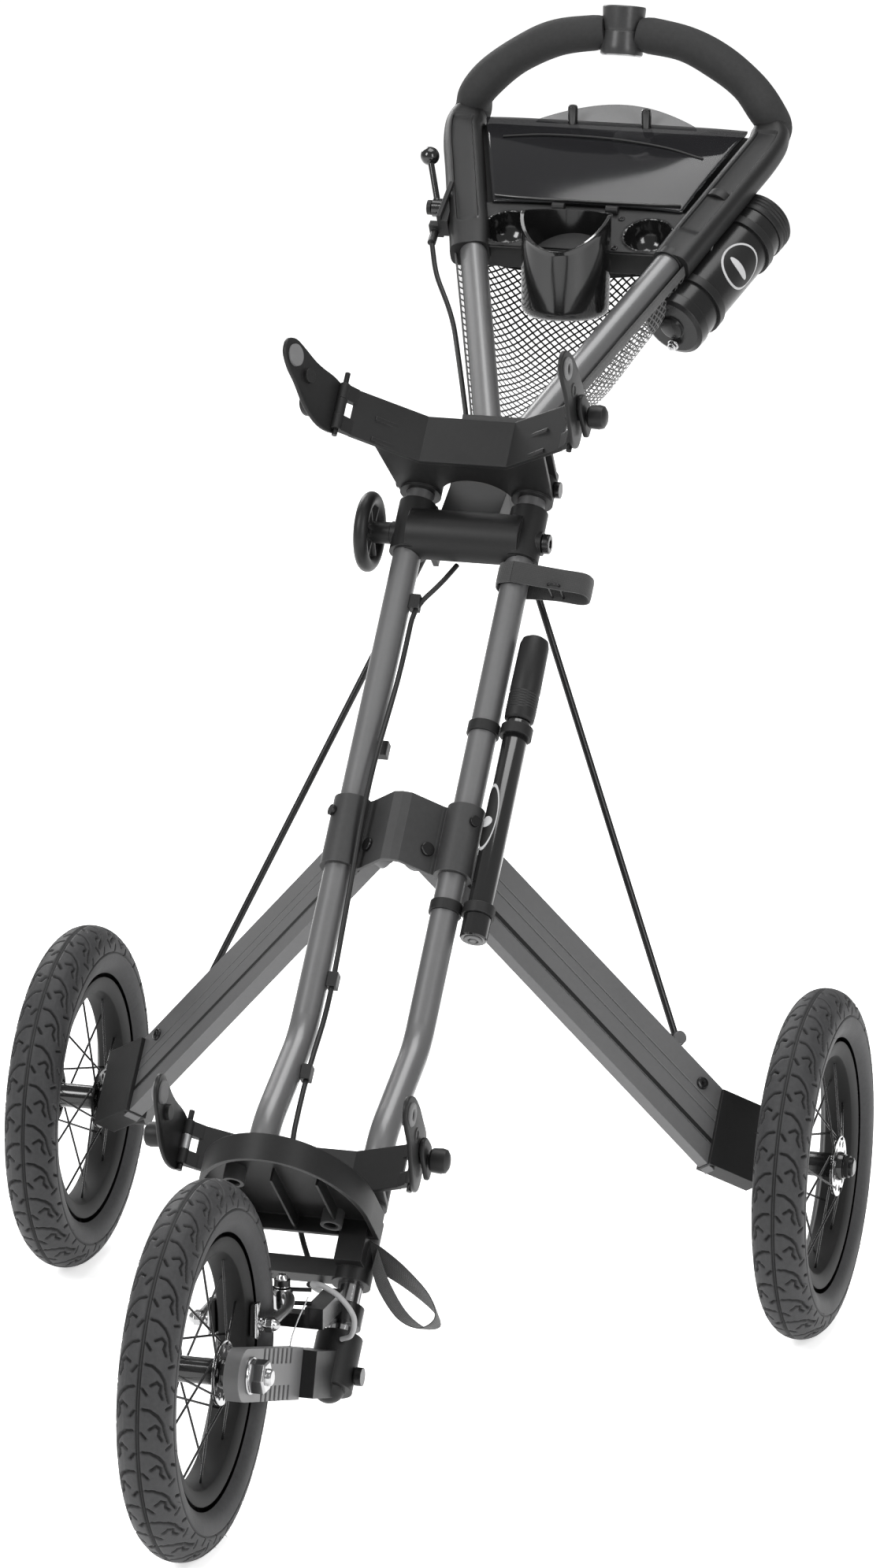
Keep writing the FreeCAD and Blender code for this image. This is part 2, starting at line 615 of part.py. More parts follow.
def hub():
    flange = [(HUB_HALF, HUB_R), (HUB_HALF, HUB_FLANGE_R), (HUB_HALF - FLANGE_T, HUB_FLANGE_R),
              (HUB_HALF - FLANGE_T, HUB_R)]
    spool = rod((-HUB_HALF - 5, 0, 0), (HUB_HALF + 5, 0, 0), HUB_R)
    shape = fuse(spool, revolve(flange), mirror(revolve(flange)))
    return shape.cut(rod((-60, 0, 0), (60, 0, 0), AXLE_R + RUN))


def spokes():
    rods = []
    for i in range(SPOKES):
        side = 1 if i % 2 else -1
        cross = 55 if i % 4 < 2 else -55
        a = math.radians(360 / SPOKES * i)
        b = a + math.radians(cross)
        x = side * (HUB_HALF + (SPOKE_R if cross > 0 else -FLANGE_T - SPOKE_R))
        r = HUB_FLANGE_R - 3
        start = (x, r * math.cos(b), r * math.sin(b))
        end = (side * 3, (RIM_R - RIM_WALL) * math.cos(a), (RIM_R - RIM_WALL) * math.sin(a))
        rods.append(rod(start, end, SPOKE_R))
    return group(*rods)


def wheel_at(shape, x, y):
    return shape.translated(V(x, y, WHEEL_R))


# ---------------------------------------------------------------- legs
def box_outline(deep, grow=0.0):
    """The axle box's outline in the leg's plane: its mouth runs along the main tubes' direction."""
    dip = math.radians(LEG_DIP)
    run, drop = (math.cos(dip), math.sin(dip)), (math.sin(dip), -math.cos(dip))
    l0, e0 = BOX_MOUTH[0] - drop[0] * grow, BOX_MOUTH[1] - drop[1] * grow
    tall = BOX_TALL + 2 * grow
    l1, e1 = l0 + drop[0] * tall, e0 + drop[1] * tall
    return [(l0, e0), (l1, e1), (l1 + run[0] * deep, e1 + run[1] * deep), (l0 + run[0] * deep, e0 + run[1] * deep)]


def leg_bar():
    z0, z1 = -LEG_SET - LEG_THICK / 2, -LEG_SET + LEG_THICK / 2
    bar = box(8, BOX_MOUTH[0] + 60, LEG_BASE, LEG_BASE + LEG_TALL, z0, z1)
    beyond = box_outline(LEG_IN_BOX, 40)
    far = box_outline(200, 40)
    return bar.cut(prism([beyond[3], beyond[2], far[2], far[3]], "xy", z0 - 1, z1 + 1))


def leg():
    z0, z1 = -LEG_SET - LEG_THICK / 2, -LEG_SET + LEG_THICK / 2
    lug = rod((0, 0, z0), (0, 0, z1), 14)
    shape = fuse(leg_bar(), lug, box(0, 20, LEG_BASE, 14, z0, z1))
    shape = shape.cut(box(-20, 40, 14, 80, z0 - 1, z1 + 1))
    for e in (8, 28, 38):
        shape = shape.cut(box(60, BOX_MOUTH[0] + 60, e, e + 1.2, z1 - 1, z1 + 1))
    shape = shape.cut(rod((0, 0, z0 - 1), (0, 0, z1 + 1), LEG_HOLE_R + RUN))
    return leg_place(shape)


def axle_box():
    z0, z1 = -LEG_SET - LEG_THICK / 2, -LEG_SET + LEG_THICK / 2
    shoe = prism(box_outline(BOX_DEEP), "xy", z0 - BOX_WALL, z1 + BOX_WALL)
    face = REAR_X - HUB_HALF - 5 - CLEAR
    boss = rod((face - 40, REAR_Y, WHEEL_R), (face, REAR_Y, WHEEL_R), 21)
    web = prism([(REAR_Y - 44, WHEEL_R + 6), (REAR_Y + 6, WHEEL_R - 20), (REAR_Y + 14, WHEEL_R + 14),
                 (REAR_Y - 16, WHEEL_R + 44)], "yz", face - 40, face - 14)
    shape = fuse(leg_place(shoe), boss, web).cut(leg_place(leg_bar()))
    shape = shape.cut(rod((face - 60, REAR_Y, WHEEL_R), (face + 9, REAR_Y, WHEEL_R), AXLE_R))
    end = REAR_X + HUB_HALF + 5 + CLEAR
    pin = rod((face - 40, REAR_Y, WHEEL_R), (end, REAR_Y, WHEEL_R), AXLE_R)
    cap = rod((end, REAR_Y, WHEEL_R), (end + 4, REAR_Y, WHEEL_R), 10)
    return group(shape, pin.fuse(cap))


STRUT_FOOT = (223.0, 708.0, 268.0)
STRUT_HEAD = (44.0, 826.0, 676.0)


def strut():
    foot, head = V(*STRUT_FOOT), V(*STRUT_HEAD)
    d = (head - foot).normalize()
    shape = rod(tuple(foot + d * 2), tuple(head), STRUT_R).fuse(eye_at(foot))
    end = rod(tuple(head - V(3, 0, 0)), tuple(head + V(3, 0, 0)), 7)
    w = leg_axis()
    return shape.fuse(end).cut(rod(tuple(foot - w * 9), tuple(foot + w * 9), 3 + RUN))


def eye_at(foot):
    w = leg_axis()
    return rod(tuple(foot - w * 3), tuple(foot + w * 3), 7).cut(rod(tuple(foot - w * 9), tuple(foot + w * 9), 3 + RUN))


def leg_axis():
    m = leg_matrix()
    return V(m.A13, m.A23, m.A33)


def strut_pin():
    """Shoulder pin through the strut's eye, screwed into the leg's back face."""
    foot, w = V(*STRUT_FOOT), leg_axis()
    back = in_leg(*STRUT_FOOT).z
    depth = abs(-LEG_SET - LEG_THICK / 2 - back)
    pin = rod(tuple(foot - w * 5), tuple(foot + w * depth), 3)
    head = rod(tuple(foot - w * 6), tuple(foot - w * (3 + GAP)), 6)
    shoulder = rod(tuple(foot + w * (3 + GAP)), tuple(foot + w * depth), 6)
    return fuse(pin, head, shoulder)


# ---------------------------------------------------------------- folding frame
def yoke():
    barrel = rod((-YOKE_X, 0, 0), (YOKE_X, 0, 0), YOKE_R)
    neck = prism([(-YOKE_X, 0), (YOKE_X, 0), (YOKE_X, 50), (34, 105), (40, 150), (-40, 150), (-34, 105),
                  (-YOKE_X, 50)], "xy", -16, 16)
    shape = fuse(barrel, neck)
    shape = shape.cut(rod((-60, 0, 0), (60, 0, 0), BOLT_R + RUN))
    for side in (1, -1):
        shape = shape.cut(arm_rod(side, -60, ARM_SPAN, TUBE_R))
    return upper(shape)


def arm_rod(side, start, end, r):
    a = (side * (ARM_X0 + ARM_DX * start), ARM_Q0 + ARM_DQ * start, 0)
    b = (side * (ARM_X0 + ARM_DX * end), ARM_Q0 + ARM_DQ * end, 0)
    return rod(a, b, r)


def upper_tubes():
    start, end = -8, ARM_SPAN + 22
    one = arm_rod(1, start, end, TUBE_R).cut(arm_rod(1, start - 1, end + 1, TUBE_R - TUBE_WALL))
    flat = box(GAP, 200, 0, 600, -20, 20)
    return upper(both(one.common(flat)))


def side_arm():
    line = [(ARM_X1 - 20, DECK_Q0 + 4), (ARM_X1 + 17, DECK_Q0 + 4), (165, 570), (166, 584), (163, ARM_END),
            (131, ARM_END), (126, 574)]
    return prism(line, "xy", -13, 14)


def console():
    arm = side_arm()
    deck = prism([(-112, DECK_Q0 + 4), (112, DECK_Q0 + 4), (116, DECK_Q1), (-116, DECK_Q1)], "xy", -3, 5)
    floor = prism([(-104, DECK_Q1), (104, DECK_Q1), (134, LID_Q1 + 6), (-134, LID_Q1 + 6)], "xy", -13, -9)
    lip = prism([(-100, DECK_Q1 - 4), (100, DECK_Q1 - 4), (100, DECK_Q1), (-100, DECK_Q1)], "xy", -13, 4)
    back = prism([(-134, LID_Q1 + 2), (134, LID_Q1 + 2), (134, LID_Q1 + 6), (-134, LID_Q1 + 6)], "xy", -13, 1)
    shape = fuse(arm, mirror(arm), deck, floor, lip, back)
    for side in (1, -1):
        bowl = Part.makeSphere(BALL_R + BOWL_WALL, V(side * BALL_X, BALL_Q, BALL_M)).cut(box(-200, 200, 300, 500, BALL_M, 40))
        shape = shape.fuse(bowl)
    for side in (1, -1):
        shape = shape.cut(Part.makeSphere(BALL_R, V(side * BALL_X, BALL_Q, BALL_M)))
        shape = shape.cut(arm_rod(side, ARM_SPAN - 60, ARM_SPAN + 22, TUBE_R))
        shape = shape.cut(box(*sorted((side * 18, side * 34)), DECK_Q1 - 5, DECK_Q1 + 1, 1, 9))
    for x in (-26, 26):
        knuckle = rod((x - 6, DECK_Q1 - 5, 8), (x + 6, DECK_Q1 - 5, 8), 4)
        shape = shape.fuse(knuckle).fuse(box(x - 6, x + 6, DECK_Q1 - 9, DECK_Q1 - 1, 3, 8))
    shape = shape.cut(rod((-60, DECK_Q1 - 5, 8), (60, DECK_Q1 - 5, 8), LID_PIN_R))
    for x0, x1 in ((-41, -32.2), (-19.8, 19.8), (32.2, 41)):
        shape = shape.cut(rod((x0, DECK_Q1 - 5, 8), (x1, DECK_Q1 - 5, 8), 4.6))
    shape = shape.cut(can_rod(CAN_LEN - 24, CAN_LEN + 4, CAN_R + 2.5)).cut(can_rod(0, CAN_LEN, CAN_R + GAP))
    shape = upper(shape).cut(canister_clamps())
    bar = sweep(path(bar_points()), BAR_R)
    return cut(shape, cup_solid(CUP_R + GAP, 0, 118), bar, mirror(bar))


LID_PIN_R = 1.5


def scorecard_lid():
    plate = prism([(-LID_HALF0, DECK_Q1 + 2), (LID_HALF0, DECK_Q1 + 2), (LID_HALF1, LID_Q1),
                   (-LID_HALF1, LID_Q1)], "xy", 6, 8.6)
    dome = Part.makeCylinder(110, 2.6, V(0, LID_Q1 - 78, 6), V(0, 0, 1))
    dome = dome.common(box(-70, 70, LID_Q1 - 4, LID_Q1 + 40, 0, 20))
    pin = rod((-40, DECK_Q1 - 5, 8), (40, DECK_Q1 - 5, 8), LID_PIN_R - RUN)
    shape = fuse(plate, dome)
    for x0, x1 in ((-40, -32.5), (-19.5, 19.5), (32.5, 40)):
        knuckle = rod((x0, DECK_Q1 - 5, 8), (x1, DECK_Q1 - 5, 8), 3.4)
        shape = shape.fuse(knuckle).fuse(box(x0, x1, DECK_Q1 - 4, DECK_Q1 + 4, 6.2, 8.6))
    for x in (-42, 30):
        post = rod((x, LID_Q1 - 4, 8), (x, LID_Q1 + 4, 24), 4.5)
        shape = shape.fuse(post)
    return upper(shape.fuse(pin))


def cup_solid(r, low, high):
    """An upright cup-shaped solid on the cup's own axis, low and high from its floor."""
    return Part.makeCone(r - 2, r, high - low, V(0, CUP_Y, CUP_BOTTOM + low), V(0, 0, 1))


def cup_holder():
    tall = 118
    shape = cup_solid(CUP_R, 0, tall).cut(cup_solid(CUP_R - CUP_WALL, 3, tall + 3))
    scoop = rod((-90, CUP_Y - 52, CUP_BOTTOM + 102), (90, CUP_Y - 52, CUP_BOTTOM + 102), 40)
    keep = upper(box(-100, 100, 300, 600, -200, 18))
    return cut(shape.common(keep), scoop)


def bar_points():
    """The handle's middle line, from the left console arm up to the collar."""
    return [tuple(upper_point(147.6, 572, -1.7)), tuple(upper_point(147.6, 604, -1.7)), (132, 1317, 1021),
            (99, 1318, 1050), (62, 1318, 1069), (21.9, 1319, 1074.5)]


def handle_bars():
    wire = path(bar_points())
    return both(sweep(wire, BAR_R).cut(sweep(wire, BAR_R - 2)).cut(collar_core(COLLAR_R)))


def grips():
    pts = bar_points()
    wire = path(pts)
    shape = sweep(wire, GRIP_R).cut(sweep(wire, BAR_R))
    shape = shape.cut(upper(box(0, 300, 0, ARM_END + GAP, -60, 60)))
    return both(shape.cut(collar_core(COLLAR_R + GAP)))


COLLAR_LOW = (0, 1315.5, 1054)
COLLAR_HIGH = (0, 1325, 1099)


def collar_core(r):
    a, b = V(*COLLAR_LOW), V(*COLLAR_HIGH)
    d = (b - a).normalize()
    return rod(tuple(a - d * 20), tuple(b + d * 20), r)


def umbrella_collar():
    shape = rod(COLLAR_LOW, COLLAR_HIGH, COLLAR_R)
    a, b = V(*COLLAR_LOW), V(*COLLAR_HIGH)
    past = (b - a) * 0.5
    return shape.cut(rod(tuple(a - past), tuple(b + past), COLLAR_BORE))


# ---------------------------------------------------------------- accessories
CAN_Q, CAN_TURN, CAN_OFF = 364.0, -66.0, 47.0


def can_rod(start, end, r):
    a = math.radians(CAN_TURN)
    def at(t):
        along = (CAN_Q - ARM_Q0) / ARM_DQ + t
        x = ARM_X0 + ARM_DX * along + CAN_OFF * math.cos(a) * ARM_DQ
        q = ARM_Q0 + ARM_DQ * along - CAN_OFF * math.cos(a) * ARM_DX
        return (x, q, CAN_OFF * math.sin(a))
    return rod(at(start), at(end), r)


def canister():
    """The can's wall and its glued-on foot."""
    wall = can_rod(14, CAN_LEN - 22, CAN_R).cut(can_rod(24, CAN_LEN, CAN_R - 2))
    return upper(group(wall, fuse(can_rod(0, 14, CAN_R + 1.5), can_rod(-4, 0, 12))))


def canister_cap():
    shell = can_rod(CAN_LEN - 22 + GAP, CAN_LEN, CAN_R + 1.5)
    return upper(shell.cut(can_rod(CAN_LEN - 24, CAN_LEN - 5, CAN_R - 4)))


def canister_clamps():
    parts = []
    for t in (34, CAN_LEN - 46):
        band = can_rod(t, t + 9, CAN_R + 2.5).cut(can_rod(t - 1, t + 10, CAN_R))
        s = (CAN_Q - ARM_Q0) / ARM_DQ + t
        ring = arm_rod(1, s, s + 9, TUBE_R + 2.5)
        shape = band.fuse(ring).cut(arm_rod(1, s - 1, s + 10, TUBE_R)).cut(can_rod(t - 1, t + 10, CAN_R))
        parts.append(shape)
    return upper(group(*parts))


PUMP_S0, PUMP_S1 = 646.0, 946.0
PUMP_SPLIT = 862.0


def pump_barrel():
    n = MAIN_N
    shape = fuse(rod((PUMP_X, PUMP_S0 + 30, n), (PUMP_X, PUMP_SPLIT - GAP, n), PUMP_R),
                 rod((PUMP_X, PUMP_S0, n), (PUMP_X, PUMP_S0 + 30, n), PUMP_R + 1.2))
    return lower(shape.cut(rod((PUMP_X, PUMP_S0 + 20, n), (PUMP_X, PUMP_SPLIT + 1, n), PUMP_R - 3)))


def pump_handle():
    n = MAIN_N
    grip = soften(rod((PUMP_X, PUMP_SPLIT, n), (PUMP_X, PUMP_S1, n), PUMP_R + 2.6), 4)
    shaft = rod((PUMP_X, PUMP_S0 + 40, n), (PUMP_X, PUMP_SPLIT + 4, n), 4)
    return lower(fuse(grip, shaft))


def tube_clips():
    parts = []
    for s in (PUMP_S0 + 22, PUMP_SPLIT - 16):
        ring = rod((TUBE_X, s, MAIN_N), (TUBE_X, s + 10, MAIN_N), TUBE_R + 2)
        cup = rod((PUMP_X, s, MAIN_N), (PUMP_X, s + 10, MAIN_N), PUMP_R + 3.2)
        shape = ring.fuse(cup).cut(rod((TUBE_X, s - 1, MAIN_N), (TUBE_X, s + 11, MAIN_N), TUBE_R))
        fit = PUMP_R + (1.2 if s < PUMP_S0 + 30 else 0)
        parts.append(lower(shape.cut(rod((PUMP_X, s - 1, MAIN_N), (PUMP_X, s + 11, MAIN_N), fit))))
    for s, n in ((973.0, MAIN_N), (824.0, MAIN_N), (595.0, MAIN_N), (497.0, -128.0)):
        clip = box(-TUBE_X + TUBE_R - 2, -TUBE_X + TUBE_R + 9, s - 7, s + 7, n - 5, n + 5)
        clip = clip.cut(box(-TUBE_X, -TUBE_X + TUBE_R, s - 8, s + 8, n - 12, n + 12))
        parts.append(lower(clip))
    cable = sweep(path([tuple(p) for p in cable_points()]), CABLE_R)
    return group(*[piece.cut(cable) for piece in parts])


CABLE_X = -35.0
CABLE_R = 2.4


def cable_points():
    """The lower run: out of the hinge block, down beside the left tube, then across to the caliper."""
    n = MAIN_N
    return [lower_point(x, s, at) for x, s, at in (
        (-8, 1021, n - 12), (-16, 998, n - 4), (CABLE_X, 968, n), (CABLE_X, 900, n), (CABLE_X, 800, n + 19),
        (CABLE_X, 745, n + 19), (CABLE_X, 690, n + 10), (CABLE_X, 600, n), (CABLE_X, 560, n),
        (CABLE_X, 490, -128), (-30, 420, -112), (-18, 372, -118), (-2, 330, -124), (22, 292, -122))] + [
        V(30, 218, 168)]


def brake_cable_lower():
    return sweep(path([tuple(p) for p in cable_points()]), CABLE_R)


def upper_cable_points():
    return [tuple(upper_point(x, q, m)) for x, q, m in (
        (-137, 408, -2), (-128, 380, -14), (-100, 330, -24), (-72, 250, -24), (-45, 170, -26), (-24, 100, -27),
        (-12, 50, -27))]


def brake_cable_upper():
    return sweep(path(upper_cable_points()), CABLE_R)


LEVER_AT = (-139.0, 452.0, 6.0)


def lever_bracket():
    """A plate on the console's left arm, with the lever's pivot pin and two cable adjusters."""
    x, q, m = LEVER_AT
    plate = box(x + 4, x + 8, q - 26, q + 26, m - 14, m + 12)
    pad = prism([(x + 8, q - 26), (x + 14, q - 26), (x + 9, q + 26), (x + 8, q + 26)], "xy", m - 12, m + 6)
    pin = rod((x - 9, q, m), (x + 6, q, m), 4)
    head = rod((x - 12, q, m), (x - 8, q, m), 7)
    adjuster = rod((x, q - 22, m - 8), (x + 1, q - 42, m - 8), 4).fuse(box(x - 5, x + 5, q - 26, q - 19, m - 14, m))
    return upper(fuse(plate, pad, pin, head, adjuster).cut(arm_solid()))


def arm_solid():
    return mirror(side_arm())


def brake_lever():
    x, q, m = LEVER_AT
    boss = rod((x - 6.5, q, m), (x + 3.5, q, m), 9)
    tip = (x - 18, q + 44, m + 26)
    shaft = rod((x - 3, q + 3, m + 2), tip, 3)
    ball = Part.makeSphere(9, V(*tip))
    return upper(fuse(boss, shaft, ball).cut(rod((x - 20, q, m), (x + 20, q, m), 4 + RUN)))


def net_bag():
    """A slack pouch hung under the upper tubes, open upwards, passing under the cup to the console."""
    stations = ((150, 22, 30), (250, 44, 46), (372, 66, 74), (440, 80, 78))
    def shell(inset):
        rings = []
        for q, half, deep in stations:
            h, low = half - inset, -deep + inset
            top = NET_TOP + (2 if inset else 0)
            pts = [(-h, q, top), (h, q, top), (h * 0.75, q, low), (-h * 0.75, q, low)]
            rings.append(Part.makePolygon([V(*p) for p in pts + pts[:1]]))
        return Part.makeLoft(rings, True, True)
    net = shell(0).cut(shell(NET_WALL)).cut(box(-50, 50, 0, 158, -100, -17))
    for side in (1, -1):
        net = net.cut(Part.makeSphere(BALL_R + BOWL_WALL + CLEAR, V(side * BALL_X, BALL_Q, BALL_M)))
    return upper(net)


def storage_strap():
    """A loop of hook-and-loop tape round the right tube, with its free end bulged out."""
    s = 1004.0
    loop = tube((TUBE_X, s - 11, MAIN_N), (TUBE_X, s + 11, MAIN_N), TUBE_R + 2.4, TUBE_R + GAP)
    bulge = box(TUBE_X + 12, TUBE_X + 70, s - 11, s + 11, MAIN_N - 11, MAIN_N + 11)
    bulge = bulge.cut(box(TUBE_X, TUBE_X + 67.5, s - 12, s + 12, MAIN_N - 8.5, MAIN_N + 8.5))
    return lower(fuse(loop, bulge).cut(rod((TUBE_X, s - 12, MAIN_N), (TUBE_X, s + 12, MAIN_N), TUBE_R + GAP)))


def webbing_loop():
    """The bag strap's loop, hanging beside the lower end of the right tube."""
    outer = Part.makeCylinder(34, 22, V(0, 0, 0), V(0, 1, 0)).cut(Part.makeCylinder(31.6, 22, V(0, 0, 0), V(0, 1, 0)))
    outer = outer.translated(V(TUBE_X + SLEEVE_R + GAP + 34, PLATE_S - 24, LOW_N + 4))
    return lower(outer)


def nodes():
    left, right = -1, 1
    made = {
        "left_main_tube": main_tube(left), "right_main_tube": main_tube(right), "fork_tube": fork_tube(),
        "hinge_block": hinge_block(), "hinge_bolt": hinge_bolt(), "tension_knob": tension_knob(),
        "centre_bracket": centre_bracket(), "frame_fasteners": frame_fasteners(),
        "upper_cradle": upper_cradle(), "lower_cradle": lower_cradle(), "base_plate": base_plate(),
        "fork_knuckle": fork_knuckle(), "fork_arm": fork_arm(), "front_axle": front_axle(),
        "caliper_body": caliper_body(), "tube_clips": tube_clips(),
        "brake_cable_lower": brake_cable_lower(), "brake_cable_upper": brake_cable_upper(),
        "pump_barrel": pump_barrel(), "pump_handle": pump_handle(), "storage_strap": storage_strap(),
        "webbing_loop": webbing_loop(), "yoke": yoke(), "upper_tubes": upper_tubes(), "console": console(),
        "scorecard_lid": scorecard_lid(), "cup_holder": cup_holder(), "handle_bars": handle_bars(),
        "grips": grips(), "umbrella_collar": umbrella_collar(), "canister": canister(),
        "canister_cap": canister_cap(), "canister_clamps": canister_clamps(),
        "lever_bracket": lever_bracket(), "brake_lever": brake_lever(), "net_bag": net_bag(),
    }
    for name, side in (("left", left), ("right", right)):
        made[f"{name}_upper_ear"] = upper_ear(side)
        made[f"{name}_lower_ear"] = lower_ear(side)
        made[f"{name}_brake_arm"] = brake_arm(side)
        for piece, shape in (("leg", group(leg(), strut_pin())), ("axle_box", axle_box()), ("strut", strut())):
            made[f"{name}_{piece}"] = shape if side > 0 else mirror(shape)
    for name, x, y in (("front", 0, 0), ("left", -REAR_X, REAR_Y), ("right", REAR_X, REAR_Y)):
        for piece, shape in (("tyre", tyre()), ("rim", rim()), ("hub", hub()), ("spokes", spokes())):
            made[f"{name}_{piece}"] = wheel_at(shape, x, y)
    return made


def main():
    os.makedirs("parts", exist_ok=True)
    print("cable bend radii:", [round(r) for r in bend_radii([tuple(p) for p in cable_points()])])
    rear = COLLAR_HIGH[1] + COLLAR_R
    shift = V(0, -(rear + FRONT) / 2, 0)
    for name, shape in sorted(nodes().items()):
        shape.translated(shift).exportStep(f"parts/{name}.step")


if __name__ == "__main__":
    main()
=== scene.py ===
import bmesh
import bpy
import math
import numpy as np
import random
from mathutils import Matrix, Vector

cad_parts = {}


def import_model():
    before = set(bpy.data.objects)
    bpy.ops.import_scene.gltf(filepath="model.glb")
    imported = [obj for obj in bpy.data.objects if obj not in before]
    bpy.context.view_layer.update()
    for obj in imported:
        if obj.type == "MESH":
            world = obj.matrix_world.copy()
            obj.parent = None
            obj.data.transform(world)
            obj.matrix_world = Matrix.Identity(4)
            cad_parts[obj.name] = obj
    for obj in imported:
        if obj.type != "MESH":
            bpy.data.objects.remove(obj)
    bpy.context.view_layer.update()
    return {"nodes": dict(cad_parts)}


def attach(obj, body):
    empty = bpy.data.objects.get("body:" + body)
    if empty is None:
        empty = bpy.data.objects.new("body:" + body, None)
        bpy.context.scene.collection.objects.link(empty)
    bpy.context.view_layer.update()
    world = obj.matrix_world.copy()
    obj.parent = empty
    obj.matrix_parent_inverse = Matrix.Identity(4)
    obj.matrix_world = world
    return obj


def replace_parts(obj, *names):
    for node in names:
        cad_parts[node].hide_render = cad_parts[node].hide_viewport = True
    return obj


# Looks for the golf push trolley. Metres, +Y back to the handle, +Z up.
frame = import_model()
NODES = frame["nodes"]
MM = 0.001
SHIFT = -594.15
SLOPE, TILT = math.radians(49), math.radians(29.7)
MAIN_N, LOW_N = -145.2, -101.0
FOLD_S = 1042.4
FOLD_Y = FOLD_S * math.cos(SLOPE) - MAIN_N * math.sin(SLOPE)
FOLD_Z = FOLD_S * math.sin(SLOPE) + MAIN_N * math.cos(SLOPE)


def world(x, y, z):
    """A point in the scene from millimetres in the trolley's own axes."""
    return Vector((x, y + SHIFT, z)) * MM


def lower(x, s, n):
    """A point on the main frame: s up along the tubes, n square to them."""
    return world(x, s * math.cos(SLOPE) - n * math.sin(SLOPE), s * math.sin(SLOPE) + n * math.cos(SLOPE))


def upper(x, q, m):
    """A point on the folding frame: q up along it, m square to it."""
    return world(x, FOLD_Y + q * math.cos(TILT) - m * math.sin(TILT),
                 FOLD_Z + q * math.sin(TILT) + m * math.cos(TILT))


# ---------------------------------------------------------------- camera
def make_camera():
    """The one camera, set from its place, its turn and its lens."""
    azimuth, elevation, roll = math.radians(15.742), math.radians(13.909), math.radians(0.68)
    back = Vector((math.sin(azimuth) * math.cos(elevation), -math.cos(azimuth) * math.cos(elevation),
                   math.sin(elevation)))
    right = Vector((math.cos(azimuth), math.sin(azimuth), 0))
    up = back.cross(right)
    across = right * math.cos(roll) + up * math.sin(roll)
    upward = up * math.cos(roll) - right * math.sin(roll)
    data = bpy.data.cameras.new("camera")
    data.lens, data.sensor_width, data.sensor_fit = 178.54, 36.0, "AUTO"
    data.clip_end = 60
    cam = bpy.data.objects.new("camera", data)
    cam.matrix_world = Matrix((across, upward, back)).transposed().to_4x4()
    cam.location = (1.8291, -6.37075, 2.1534)
    bpy.context.scene.collection.objects.link(cam)
    bpy.context.scene.camera = cam


make_camera()


# ---------------------------------------------------------------- light and floor
def area(name, place, aim, size, power):
    """A soft rectangular lamp at a place, aimed at a point."""
    data = bpy.data.lights.new(name, "AREA")
    data.shape, data.size, data.size_y, data.energy = "RECTANGLE", size[0], size[1], power
    lamp = bpy.data.objects.new(name, data)
    lamp.location = place
    lamp.rotation_mode = "QUATERNION"
    lamp.rotation_quaternion = (Vector(aim) - Vector(place)).to_track_quat("-Z", "Y")
    bpy.context.scene.collection.objects.link(lamp)


def make_stage():
    """The white studio: even sky light, four soft lamps and a pale floor."""
    world_data = bpy.data.worlds.new("studio")
    bpy.context.scene.world = world_data
    world_data.use_nodes = True
    world_data.node_tree.nodes["Background"].inputs[0].default_value = (1, 1, 1, 1)
    world_data.node_tree.nodes["Background"].inputs[1].default_value = 0.5
    area("key", (-2.6, -3.4, 3.6), (0, 0, 0.5), (1.8, 2.4), 190)
    area("fill", (3.2, -2.4, 2.2), (0, 0, 0.5), (1.2, 2.6), 95)
    area("top", (0.2, 0.6, 4.2), (0, 0, 0.4), (2.5, 2.5), 110)
    area("back", (-2.4, 3.0, 2.6), (0, 0.2, 0.5), (1.5, 2.0), 80)
    reach = 60
    verts = [(-reach, -reach, 0), (reach, -reach, 0), (reach, reach, 0), (-reach, reach, 0)]
    faces = [(0, 1, 2, 3)]
    mesh = bpy.data.meshes.new("floor")
    mesh.from_pydata(verts, [], faces)
    floor = bpy.data.objects.new("floor", mesh)
    bpy.context.scene.collection.objects.link(floor)
    paper = plain("floor_paper", (0.93, 0.93, 0.93), 0.9)
    glow = paper.node_tree.nodes["Principled BSDF"]
    glow.inputs["Emission Color"].default_value = (1, 1, 1, 1)
    glow.inputs["Emission Strength"].default_value = 0.55
    mesh.materials.append(paper)
    for face in mesh.polygons:
        face.use_smooth = True


# ---------------------------------------------------------------- materials
def new_material(name):
    """A material with a Principled shader, its node tree and that shader."""
    mat = bpy.data.materials.new(name)
    mat.use_nodes = True
    tree = mat.node_tree
    return mat, tree, tree.nodes["Principled BSDF"]


def plain(name, color, rough):
    """A material of one colour and roughness."""
    mat, _, bsdf = new_material(name)
    bsdf.inputs["Base Color"].default_value = (*color, 1)
    bsdf.inputs["Roughness"].default_value = rough
    return mat


def group_socket(group, name, kind, way, value=None):
    """Adds one socket to a node group."""
    sock = group.interface.new_socket(name=name, in_out=way, socket_type=kind)
    if value is not None:
        sock.default_value = value


def math_node(tree, op, a, b=None, clamp=False):
    """A math node; each input is a socket or a number."""
    node = tree.nodes.new("ShaderNodeMath")
    node.operation, node.use_clamp = op, clamp
    for i, value in enumerate((a, b)):
        if value is None:
            continue
        if isinstance(value, (int, float)):
            node.inputs[i].default_value = value
        else:
            tree.links.new(value, node.inputs[i])
    return node.outputs[0]


def noise(tree, vector, scale, detail=3.0, rough=0.5):
    """A noise value from a vector."""
    node = tree.nodes.new("ShaderNodeTexNoise")
    node.inputs["Scale"].default_value = scale
    node.inputs["Detail"].default_value = detail
    node.inputs["Roughness"].default_value = rough
    tree.links.new(vector, node.inputs["Vector"])
    return node.outputs["Fac"]


